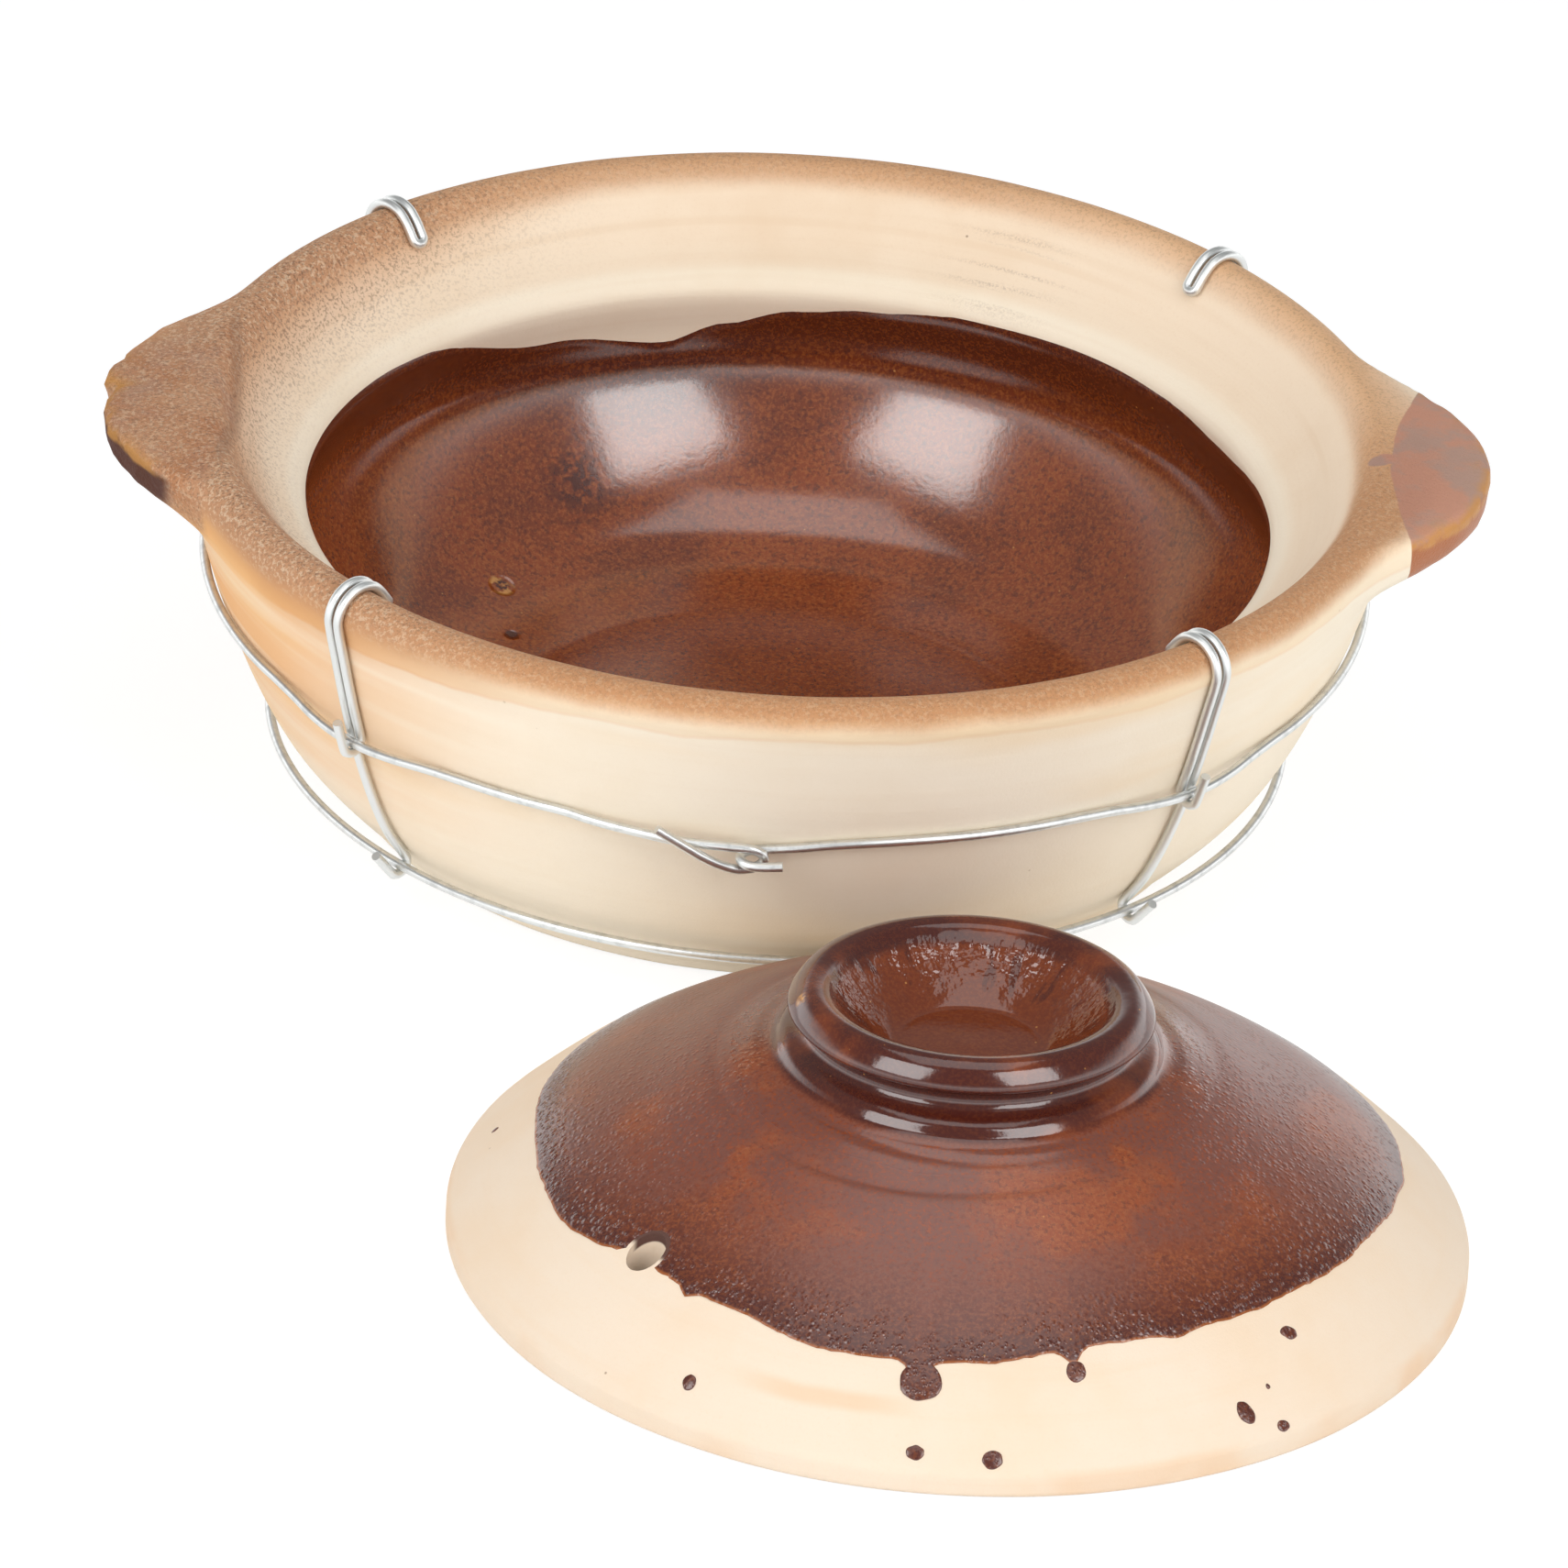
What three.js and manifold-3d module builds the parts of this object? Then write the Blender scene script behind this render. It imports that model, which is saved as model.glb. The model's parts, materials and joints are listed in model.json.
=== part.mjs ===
// Clay casserole with two lugs, a galvanised wire harness and a domed lid standing in front of it.
// Millimetres, +Z up. The origin is the middle of the pot's flat foot, the lugs point along X.
import * as THREE from 'three';
import { mergeVertices } from 'three/addons/utils/BufferGeometryUtils.js';
import Module from 'manifold-3d';

const wasm = await Module();
wasm.setup();

// Pot: outside
const potHeight = 81;
const footRadius = 88;
const footRound = 2;
const bellyRadius = 104.6;
const bellyHeight = 20;
const shoulderRadius = 116.4;
const shoulderHeight = 46;
const lipRadius = 120;
const lipThickness = 10;
const lipUndercutAngle = 20;

// Pot: inside
const floorThickness = 8;
const floorRadius = 57;
const innerToeRadius = 73.5;
const innerToeHeight = 11;
const innerKneeRadius = 87.3;
const innerKneeHeight = 19.3;
const innerBellyRadius = 102.5;
const innerBellyHeight = 42;
const seatHeight = 63;
const seatWidth = 6;
const seatRound = 3;

// Lugs
const lugRadius = 44;
const lugOverhang = 17.5;
const lugThickness = 20;
const lugEdgeHeight = 11;
const lugTaper = 8;
const lugRound = 3;
const lugDropBelowRim = 2;

// Lid
const lidRadius = 101.8;
const lidSeatClearance = 1.5;
const lidEdgeHeight = 5;
const lidHaunchRadius = 87.5;
const lidHaunchHeight = 18.3;
const lidCrownRadius = 69;
const lidCrownHeight = 30.3;
const lidTopHeight = 45;
const lidRimWidth = 10.8;
const lidWall = 6.5;

// Knob: an open ring on top of the lid, with a cup inside it
const knobFootRadius = 38;
const knobFootHeight = 1.2;
const knobNeckRadius = 32.8;
const knobNeckHeight = 4.6;
const knobLipRadius = 36.6;
const knobLipHeight = 9;
const knobHeight = 13.3;
const knobCrestRadius = 31.5;
const knobMouthRadius = 28;
const knobCupRadius = 17;

// Steam vent, straight down through the lid
const ventDiameter = 8.2;
const ventRadiusFromAxis = 80.5;
const ventBearing = 220.7;

// Wire harness
const wireDiameter = 2;
const upperHoopHeight = 48.3;
const lowerHoopHeight = 15;
const tieBearing = 45;
const tieLegSpacing = 2.6;
const tieFoldReach = 4.8;
const tieStub = 7;
const hoopLiftSpan = 24;
const tieCount = 4;

// Clearances and the lid's place beside the pot
const gap = 0.3;
const lidStandGap = 0.6;
const lidStandBearing = 12.5;

// Facets
const potFacets = 64;
const lidFacets = 64;
const knobFacets = 40;
const lugFacets = 36;
const ventFacets = 20;
const wireSides = 6;
const hoopSteps = 84;
const wallSteps = 10;
const bowlSteps = 14;
const archSteps = 6;

// Values worked out from the sizes above
const wireRadius = wireDiameter / 2;
const wireOnWall = gap + wireRadius;
const wireOnWire = wireDiameter + gap;
const lipRound = lipThickness / 2;
const lipHeight = potHeight - lipRound;
const seatOuterRadius = lidRadius + lidSeatClearance;
const seatInnerRadius = seatOuterRadius - seatWidth;
const knobBase = lidTopHeight + gap;
const lugReach = lipRadius + lipRound + lugOverhang;

const vec2 = (x, y) => new THREE.Vector2(x, y);
const radians = (degrees) => THREE.MathUtils.degToRad(degrees);

// A round stretch of an outline, from one angle to another about a centre.
function arc(centre, radius, from, to, steps) {
  const points = [];
  for (let i = 0; i <= steps; i += 1) {
    const angle = radians(from + ((to - from) * i) / steps);
    points.push(vec2(centre.x + radius * Math.cos(angle), centre.y + radius * Math.sin(angle)));
  }
  return points;
}

// A profile of (radius, height) points turned about the Z axis.
function turned(profile, facets) {
  const geometry = new THREE.LatheGeometry(profile, facets);
  geometry.rotateX(Math.PI / 2);
  return welded(geometry);
}

function welded(geometry) {
  geometry.deleteAttribute('normal');
  geometry.deleteAttribute('uv');
  const merged = mergeVertices(geometry, 1e-4);
  const positions = merged.attributes.position;
  const corners = merged.index.array;
  const kept = [];
  for (let i = 0; i < corners.length; i += 3) {
    const [a, b, c] = [corners[i], corners[i + 1], corners[i + 2]];
    if (a !== b && b !== c && c !== a) kept.push(a, b, c);
  }
  const closed = new THREE.BufferGeometry();
  closed.setAttribute('position', positions);
  closed.setIndex(kept);
  return closed;
}

function toSolid(geometry) {
  return new wasm.Manifold(new wasm.Mesh({
    numProp: 3,
    vertProperties: new Float32Array(geometry.attributes.position.array),
    triVerts: new Uint32Array(geometry.index.array),
  }));
}

function toGeometry(solid) {
  const mesh = solid.getMesh();
  const geometry = new THREE.BufferGeometry();
  geometry.setAttribute('position', new THREE.BufferAttribute(new Float32Array(mesh.vertProperties), 3));
  geometry.setIndex(new THREE.BufferAttribute(new Uint32Array(mesh.triVerts), 1));
  return geometry;
}

function named(name, geometry, material) {
  geometry.computeVertexNormals();
  const mesh = new THREE.Mesh(geometry, material);
  mesh.name = name;
  return mesh;
}

const clay = new THREE.MeshStandardMaterial({ color: 0xe8cfa6, roughness: 0.9, metalness: 0 });
const scorchedClay = new THREE.MeshStandardMaterial({ color: 0xb3835f, roughness: 0.95, metalness: 0 });
const brownGlaze = new THREE.MeshStandardMaterial({ color: 0x6b3320, roughness: 0.25, metalness: 0 });
const galvanised = new THREE.MeshStandardMaterial({ color: 0xc4c9c8, roughness: 0.35, metalness: 1 });

// Outer wall of the pot, from the round of the foot to the underside of the lip
const lipCentre = vec2(lipRadius, lipHeight);
const wallTop = arc(lipCentre, lipRound, -lipUndercutAngle, -lipUndercutAngle, 1)[0];
const wallCurve = new THREE.SplineCurve([
  vec2(footRadius, footRound),
  vec2(bellyRadius, bellyHeight),
  vec2(shoulderRadius, shoulderHeight),
  wallTop,
]);

// The place on the outer wall at a height, moved out along the wall's own normal.
function onWall(height, offset) {
  let low = 0;
  let high = 1;
  for (let i = 0; i < 40; i += 1) {
    const middle = (low + high) / 2;
    if (wallCurve.getPoint(middle).y < height) low = middle;
    else high = middle;
  }
  const point = wallCurve.getPoint(low);
  const along = wallCurve.getTangent(low);
  const normal = vec2(along.y, -along.x);
  return { point: point.addScaledVector(normal, offset), along, normal };
}

// The inner flange is a straight cone that runs from the lid seat to touch the round of the lip.
const seatCorner = vec2(seatOuterRadius, seatHeight);
const toLip = lipCentre.clone().sub(seatCorner);
const flangeSlope = Math.atan2(toLip.y, toLip.x) + Math.asin(lipRound / toLip.length());
const lipEndAngle = 90 + THREE.MathUtils.radToDeg(flangeSlope);
const downFlange = vec2(-Math.cos(flangeSlope), -Math.sin(flangeSlope));

function potBody() {
  const innerWall = new THREE.SplineCurve([
    vec2(seatInnerRadius, seatHeight - seatRound),
    vec2(innerBellyRadius, innerBellyHeight),
    vec2(innerKneeRadius, innerKneeHeight),
    vec2(innerToeRadius, innerToeHeight),
    vec2(floorRadius, floorThickness),
  ]);
  const seatEdge = arc(vec2(seatInnerRadius + seatRound, seatHeight - seatRound), seatRound, 90, 180, 3);
  const profile = [
    vec2(0, 0),
    ...arc(vec2(footRadius - footRound, footRound), footRound, -90, 0, 2),
    ...wallCurve.getPoints(wallSteps).slice(1),
    ...arc(lipCentre, lipRound, -lipUndercutAngle, lipEndAngle, archSteps).slice(1),
    seatCorner,
    ...seatEdge,
    ...innerWall.getPoints(bowlSteps).slice(1),
    vec2(0, floorThickness),
  ];
  return named('pot_body', turned(profile, potFacets), clay);
}

// Everything within the pot's outer skin, with the clearance that a luted piece keeps to it
function potEnvelope() {
  const skin = [vec2(0, -gap), vec2(footRadius, -gap)];
  for (let i = 0; i <= wallSteps; i += 1) {
    const point = wallCurve.getPoint(i / wallSteps);
    const along = wallCurve.getTangent(i / wallSteps);
    skin.push(point.add(vec2(along.y, -along.x).multiplyScalar(gap)));
  }
  skin.push(...arc(lipCentre, lipRound + gap, 0, 90, archSteps));
  skin.push(vec2(0, potHeight + gap));
  return toSolid(turned(skin, potFacets));
}

// One lug is a thick round tab, tapered below, whose inner side is cut to the pot's wall.
function lug(name, side) {
  const top = potHeight - lugDropBelowRim;
  const bottom = top - lugThickness;
  const profile = [
    vec2(0, bottom),
    vec2(lugRadius - lugTaper, bottom),
    vec2(lugRadius - lugRound / 3, top - lugEdgeHeight),
    vec2(lugRadius, top - lugEdgeHeight + lugRound / 2),
    ...arc(vec2(lugRadius - lugRound, top - lugRound), lugRound, 0, 90, 3),
    vec2(0, top),
  ];
  const tab = turned(profile, lugFacets);
  tab.translate(side * (lugReach - lugRadius), 0, 0);
  return named(name, toGeometry(toSolid(tab).subtract(potEnvelope())), scorchedClay);
}

// A round wire along points, with a ring of facets at each point
class WireRoute extends THREE.CatmullRomCurve3 {
  getUtoTmapping(u) {
    return u;
  }
}

function wire(points) {
  const section = new THREE.Shape();
  for (let i = 0; i < wireSides; i += 1) {
    const angle = (2 * Math.PI * i) / wireSides;
    const x = wireRadius * Math.cos(angle);
    const y = wireRadius * Math.sin(angle);
    if (i === 0) section.moveTo(x, y);
    else section.lineTo(x, y);
  }
  section.closePath();
  const route = new WireRoute(points, false, 'centripetal');
  const settings = { steps: points.length - 1, extrudePath: route, bevelEnabled: false };
  return welded(new THREE.ExtrudeGeometry(section, settings));
}

// A point at a bearing round the pot, moved sideways along the wall
function around(point, bearing, sideways) {
  const [c, s] = [Math.cos(bearing), Math.sin(bearing)];
  return new THREE.Vector3(point.x * c - sideways * s, point.x * s + sideways * c, point.y);
}

const tieBearings = Array.from({ length: tieCount }, (_, i) => radians(tieBearing + (360 / tieCount) * i));
const hoopOverTie = wireOnWall + wireOnWire;

// How far a hoop's middle stands off the wall at a bearing: it is lifted where it crosses a tie.
function hoopOffset(bearing, radius, restingOffset) {
  let nearest = Infinity;
  for (const tie of tieBearings) {
    const turn = Math.atan2(Math.sin(bearing - tie), Math.cos(bearing - tie));
    nearest = Math.min(nearest, Math.abs(turn) * radius);
  }
  const flat = tieLegSpacing;
  const fall = THREE.MathUtils.smoothstep(nearest, flat, flat + hoopLiftSpan);
  return THREE.MathUtils.lerp(hoopOverTie, restingOffset, fall);
}

// A hoop is one wire. Its first end turns back into a long eye and crosses in front of itself,
// and its last end passes behind the eye, comes through it and folds back. Splice points are
// (along the hoop, up the wall, off the wall), in wire-to-wire steps.
function hoop(name, height, spliceBearing, restingOffset) {
  const radius = onWall(height, restingOffset).point.x;
  const step = wireOnWire;
  const behind = wireOnWall;
  const eye = behind + 1.1 * step;
  const front = eye + 1.1 * step;
  const place = (along, up, off) => {
    const seat = onWall(height, 0);
    const spot = seat.point.clone().addScaledVector(seat.along, up).addScaledVector(seat.normal, off);
    return around(spot, spliceBearing + along / radius, 0);
  };
  const eyePoints = [
    place(-9 * step, 1.5 * step, front + 0.15 * step),
    place(-7 * step, 0.35 * step, front + 0.15 * step),
    place(-4.7 * step, -0.95 * step, front),
    place(-2.6 * step, -2.1 * step, front - 0.5 * step),
    place(-1.1 * step, -2.35 * step, eye + 0.15 * step),
    place(-0.2 * step, -1.8 * step, eye),
    place(0, -1.15 * step, eye),
    place(-0.35 * step, -0.5 * step, eye),
    place(-1.3 * step, -0.08 * step, eye),
    place(-3.5 * step, 0, eye),
    place(-7 * step, 0, eye),
    place(-11 * step, 0, (2 * eye + restingOffset) / 3),
    place(-15 * step, 0, (eye + 2 * restingOffset) / 3),
  ];
  const hookPoints = [
    place(14 * step, 0, (2 * restingOffset + behind) / 3),
    place(10 * step, -0.1 * step, (restingOffset + 2 * behind) / 3),
    place(6 * step, -0.35 * step, behind),
    place(2.6 * step, -0.85 * step, behind),
    place(0, -1.18 * step, behind),
    place(-1.3 * step, -1.2 * step, behind + 0.2 * step),
    place(-2 * step, -1.2 * step, eye - 0.35 * step),
    place(-2 * step, -1.2 * step, eye + 0.35 * step),
    place(-1.3 * step, -1.2 * step, front - 0.15 * step),
    place(0, -1.13 * step, front),
    place(1.6 * step, -0.95 * step, front),
  ];
  const clearOfSplice = (18 * step) / radius;
  const sweep = 2 * Math.PI - 2 * clearOfSplice;
  const run = [];
  for (let i = 0; i <= hoopSteps; i += 1) {
    const bearing = spliceBearing - clearOfSplice - (sweep * i) / hoopSteps;
    run.push(around(onWall(height, 0).point.clone().addScaledVector(
      onWall(height, 0).normal, hoopOffset(bearing, radius, restingOffset)), bearing, 0));
  }
  return named(name, wire([...eyePoints, ...run, ...hookPoints]), galvanised);
}

// Half a turn of wire round a hoop at a tie, from behind it, under it, to a stub that points up outside
function turnUnderHoop(height) {
  const seat = onWall(height, hoopOverTie);
  const turn = [];
  for (let i = 0; i <= 6; i += 1) {
    const angle = Math.PI - (Math.PI * i) / 6;
    turn.push(seat.point.clone()
      .addScaledVector(seat.normal, wireOnWire * Math.cos(angle))
      .addScaledVector(seat.along, -wireOnWire * Math.sin(angle)));
  }
  turn.push(seat.point.clone()
    .addScaledVector(seat.normal, wireOnWire)
    .addScaledVector(seat.along, tieStub));
  return turn;
}

// Down the outside of the wall, between two heights
function downWall(from, to, steps) {
  const points = [];
  for (let i = 0; i <= steps; i += 1) {
    points.push(onWall(from + ((to - from) * i) / steps, wireOnWall).point);
  }
  return points;
}

// A tie is one wire folded in two. The fold hooks over the lip into the pot, one leg ends at the upper
// hoop and the other goes on to the lower one.
function tie(name, bearing) {
  const overLip = arc(lipCentre, lipRound + wireOnWall, lipEndAngle, -lipUndercutAngle, 6);
  const flangeTouch = overLip[0];
  const half = tieLegSpacing / 2;
  const foldCentre = flangeTouch.clone().addScaledVector(downFlange, tieFoldReach - half);
  const lipToHoop = downWall(wallTop.y, upperHoopHeight, 4).slice(1);
  const shortLeg = [...overLip, ...lipToHoop.slice(0, -1), ...turnUnderHoop(upperHoopHeight)];
  const hoopToHoop = downWall(upperHoopHeight, lowerHoopHeight, 5).slice(1, -1);
  const longLeg = [...overLip, ...lipToHoop, ...hoopToHoop, ...turnUnderHoop(lowerHoopHeight)];
  const fold = [];
  for (let i = 0; i <= 6; i += 1) {
    const angle = (Math.PI * i) / 6;
    const spot = foldCentre.clone().addScaledVector(downFlange, half * Math.sin(angle));
    fold.push(around(spot, bearing, half * Math.cos(angle)));
  }
  const points = [
    ...shortLeg.map((spot) => around(spot, bearing, half)).reverse(),
    ...fold,
    ...longLeg.map((spot) => around(spot, bearing, -half)),
  ];
  return named(name, wire(points), galvanised);
}

// Outer curve of the lid, from the top of its edge to the flat under the knob
const lidCurve = new THREE.SplineCurve([
  vec2(lidRadius, lidEdgeHeight),
  vec2(lidHaunchRadius, lidHaunchHeight),
  vec2(lidCrownRadius, lidCrownHeight),
  vec2(knobFootRadius, lidTopHeight),
]);

function lidDome() {
  const rimInnerRadius = lidRadius - lidRimWidth;
  const ceiling = lidTopHeight - lidWall;
  const underside = new THREE.SplineCurve([
    vec2(knobFootRadius, ceiling - lidWall / 4),
    vec2(lidCrownRadius - lidWall / 2, lidCrownHeight - lidWall),
    vec2(lidHaunchRadius - lidWall, lidHaunchHeight - lidWall / 2),
    vec2(rimInnerRadius, 0),
  ]);
  const profile = [
    vec2(0, ceiling),
    ...underside.getPoints(wallSteps),
    vec2(lidRadius, 0),
    ...lidCurve.getPoints(wallSteps),
    vec2(0, lidTopHeight),
  ];
  const dome = toSolid(turned(profile, lidFacets));
  return named('lid_dome', toGeometry(dome.subtract(toSolid(ventBore()))), clay);
}

// The vent's upright bore, at the height of the lid's outer curve there
function ventBore() {
  let share = 0;
  while (share < 1 && lidCurve.getPoint(share).x > ventRadiusFromAxis) share += 0.002;
  const spot = lidCurve.getPoint(share);
  const bore = new THREE.CylinderGeometry(ventDiameter / 2, ventDiameter / 2, 4 * lidWall, ventFacets);
  bore.rotateX(Math.PI / 2);
  bore.translate(spot.x, 0, spot.y);
  bore.rotateZ(radians(ventBearing));
  return welded(bore);
}

function lidKnob() {
  const outside = new THREE.SplineCurve([
    vec2(knobFootRadius, knobBase + knobFootHeight),
    vec2(knobNeckRadius + 1, knobBase + knobNeckHeight - 1.6),
    vec2(knobNeckRadius, knobBase + knobNeckHeight),
    vec2(knobLipRadius, knobBase + knobLipHeight),
  ]);
  const overLip = new THREE.SplineCurve([
    vec2(knobLipRadius, knobBase + knobLipHeight),
    vec2((knobLipRadius + knobCrestRadius) / 2 + 1, knobBase + knobHeight - 1),
    vec2(knobCrestRadius, knobBase + knobHeight),
    vec2(knobMouthRadius, knobBase + knobHeight - 1),
  ]);
  const profile = [
    vec2(knobCupRadius, knobBase),
    vec2(knobFootRadius, knobBase),
    ...outside.getPoints(archSteps),
    ...overLip.getPoints(archSteps).slice(1),
    vec2(knobCupRadius, knobBase),
  ];
  return named('lid_knob', turned(profile, knobFacets), brownGlaze);
}

// The lid stands as close to the pot as its edge allows: over each height, the pot's reach and the
// lid's reach are added and the largest sum counts.
function lidStandDistance() {
  const lowHoop = onWall(lowerHoopHeight, hoopOverTie).point;
  let widest = 0;
  for (let i = 0; i <= 200; i += 1) {
    const height = (lidTopHeight * i) / 200;
    const aside = Math.abs(height - lowHoop.y);
    const hoopReach = aside < wireRadius ? lowHoop.x + Math.sqrt(wireRadius ** 2 - aside ** 2) : 0;
    const potReach = Math.max(onWall(Math.max(height, footRound), 0).point.x, hoopReach);
    widest = Math.max(widest, potReach + lidReach(height));
  }
  return widest + lidStandGap;
}

function lidReach(height) {
  if (height <= lidEdgeHeight) return lidRadius;
  let reach = knobFootRadius;
  for (const spot of lidCurve.getPoints(200)) {
    if (spot.y >= height) reach = Math.max(reach, spot.x);
  }
  return reach;
}

const casserole = new THREE.Group();
casserole.add(
  potBody(),
  lug('right_lug', 1),
  lug('left_lug', -1),
  hoop('upper_hoop', upperHoopHeight, radians(-90), wireOnWall),
  hoop('lower_hoop', lowerHoopHeight, radians(90), hoopOverTie),
);
const tieNames = ['tie_back_right', 'tie_back_left', 'tie_front_left', 'tie_front_right'];
tieNames.forEach((name, i) => casserole.add(tie(name, tieBearings[i])));

const lid = new THREE.Group();
const standDistance = lidStandDistance();
lid.position.set(
  standDistance * Math.sin(radians(lidStandBearing)),
  -standDistance * Math.cos(radians(lidStandBearing)),
  0,
);
lid.add(lidDome(), lidKnob());
casserole.add(lid);

export default casserole;
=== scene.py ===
"""Clay casserole in its wire harness, with the lid beside it: fired clay, brown glaze, wire and studio."""
import json
import math

import bpy
import numpy as np
from mathutils import Matrix, Vector, noise

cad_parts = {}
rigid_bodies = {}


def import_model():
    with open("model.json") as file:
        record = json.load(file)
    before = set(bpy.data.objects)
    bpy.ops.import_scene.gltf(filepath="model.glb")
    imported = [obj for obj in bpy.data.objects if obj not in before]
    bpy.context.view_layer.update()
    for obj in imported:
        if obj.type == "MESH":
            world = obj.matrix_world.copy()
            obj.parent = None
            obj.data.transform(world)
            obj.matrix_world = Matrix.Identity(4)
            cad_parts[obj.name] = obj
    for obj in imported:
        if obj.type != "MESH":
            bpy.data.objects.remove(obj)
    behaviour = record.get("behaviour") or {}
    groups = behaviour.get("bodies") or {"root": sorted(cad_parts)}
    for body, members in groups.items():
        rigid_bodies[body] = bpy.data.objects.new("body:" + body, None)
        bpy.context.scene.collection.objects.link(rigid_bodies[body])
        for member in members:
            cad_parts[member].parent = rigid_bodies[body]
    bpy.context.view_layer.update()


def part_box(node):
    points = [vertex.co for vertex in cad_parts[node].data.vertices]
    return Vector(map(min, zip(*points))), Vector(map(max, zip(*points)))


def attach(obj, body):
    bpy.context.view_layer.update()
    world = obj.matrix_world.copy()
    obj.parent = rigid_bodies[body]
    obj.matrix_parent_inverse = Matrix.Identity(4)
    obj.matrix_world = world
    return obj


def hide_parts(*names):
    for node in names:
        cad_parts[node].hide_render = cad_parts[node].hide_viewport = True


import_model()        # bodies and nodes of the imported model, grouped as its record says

bl_info = {
    "name": "Clay casserole",
    "version": (1, 0, 0),
    "blender": (4, 5, 0),
    "location": "View3D > Sidebar > Casserole",
    "description": "Models and finishes a clay casserole with a wire harness and a lid",
    "category": "Object",
}

MM = 0.001
PHOTO_SIDE = 1710
LID_LOW, LID_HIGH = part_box("lid_dome")
LID_X = (LID_LOW[0] + LID_HIGH[0]) / 2
LID_Y = (LID_LOW[1] + LID_HIGH[1]) / 2
LID_TOP = LID_HIGH[2]
POT_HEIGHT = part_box("pot_body")[1][2]


# Settings that a user would change

def amount(name, description, default, **options):
    return bpy.props.FloatProperty(name=name, description=description, default=default, **options)


def length(name, description, millimetres):
    return amount(name, description, millimetres * MM, min=0.0, unit="LENGTH")


def degrees(name, description, turn):
    return amount(name, description, math.radians(turn), subtype="ANGLE")


def linear(level):
    """One sRGB channel from 0 to 255 as linear light."""
    share = level / 255
    return share / 12.92 if share <= 0.04045 else ((share + 0.055) / 1.055) ** 2.4


def colour(name, description, *levels):
    return bpy.props.FloatVectorProperty(
        name=name, description=description, size=3, subtype="COLOR", min=0.0, max=1.0,
        default=[linear(level) for level in levels])


class PotSizes(bpy.types.PropertyGroup):
    foot_radius: length("Foot radius", "Flat foot that the pot stands on", 88)
    foot_round: length("Foot round", "Rounding of the foot's edge", 2)
    belly_radius: length("Belly radius", "Outer radius low on the wall", 104.6)
    belly_height: length("Belly height", "Height of the belly radius", 20)
    shoulder_radius: length("Shoulder radius", "Outer radius half way up the wall", 116.4)
    shoulder_height: length("Shoulder height", "Height of the shoulder radius", 46)
    lip_radius: length("Lip radius", "Middle of the rounded lip", 120)
    lip_round: length("Lip round", "Half the thickness of the lip", 5)
    lip_undercut: degrees("Lip undercut", "Angle below level at which the wall meets the lip", 20)
    floor_thickness: length("Floor thickness", "Clay under the bowl", 8)
    floor_radius: length("Floor radius", "Flat of the bowl's floor", 57)
    toe_radius: length("Toe radius", "Where the floor begins to rise", 73.5)
    toe_height: length("Toe height", "Height of the toe radius", 11)
    knee_radius: length("Knee radius", "Where the floor turns into the wall", 87.3)
    knee_height: length("Knee height", "Height of the knee radius", 19.3)
    inner_belly_radius: length("Inner belly radius", "Widest place of the bowl", 101.8)
    inner_belly_height: length("Inner belly height", "Height of the bowl's widest place", 42)
    seat_radius: length("Seat radius", "Outer corner of the ledge that the lid sits on", 103.3)
    seat_width: length("Seat width", "Width of the ledge", 5)
    seat_height: length("Seat height", "Height of the ledge", 63)
    lug_radius: length("Lug radius", "Round of a lug seen from above", 44)
    lug_reach: length("Lug reach", "Tip of a lug from the pot's axis", 142.3)
    lug_blend: length("Lug blend", "Fillet between a lug and the lip", 4.2)
    lug_bottom: length("Lug bottom", "Height where a lug's underside leaves the wall", 61.5)
    lug_turn: degrees("Lug turn", "How far the right lug sits off the pot's X axis", 1.2)
    left_worn: length("Left worn", "How much shorter the left lug is", 2)
    lug_drop: length("Lug drop", "How far a lug's top lies below the lip's crest", 1.7)
    glaze_thickness: length("Glaze thickness", "Coat of glaze in the bowl", 0.35)


class LidSizes(bpy.types.PropertyGroup):
    radius: length("Lid radius", "Outer edge of the lid", 101.8)
    edge_height: length("Edge height", "Upright part of the lid's edge", 5)
    haunch_radius: length("Haunch radius", "Outer curve near the edge", 87.5)
    haunch_height: length("Haunch height", "Height of the haunch radius", 18.3)
    crown_radius: length("Crown radius", "Outer curve half way up", 69)
    crown_height: length("Crown height", "Height of the crown radius", 30.3)
    rim_width: length("Rim width", "Flat ring that the lid stands on", 10.8)
    wall: length("Wall", "Thickness of the dome", 6.5)
    knob_foot: length("Knob foot", "Radius of the knob's spread foot", 38)
    knob_neck: length("Knob neck", "Narrowest radius under the lip", 32.8)
    knob_lip: length("Knob lip", "Widest radius of the lip", 36.6)
    knob_crest: length("Knob crest", "Radius of the top of the lip", 31.8)
    knob_mouth: length("Knob mouth", "Inner edge of the lip", 28)
    knob_cup: length("Knob cup", "Radius of the cup's floor", 16.5)
    knob_height: length("Knob height", "Top of the lip over the dome's flat", 13.4)
    knob_lean: degrees("Knob lean", "How far the knob leans back", 2.2)
    vent_radius: length("Vent radius", "Half the bore of the steam vent", 3.9)
    vent_from_axis: length("Vent place", "Distance of the vent from the lid's axis", 80.5)
    vent_bearing: degrees("Vent bearing", "Direction of the vent round the lid", 220.7)
    glaze_thickness: length("Glaze thickness", "Coat of glaze on the lid", 0.3)
    glaze_reach: length("Glaze reach", "Mean radius of the glaze's edge", 84.4)


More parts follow.
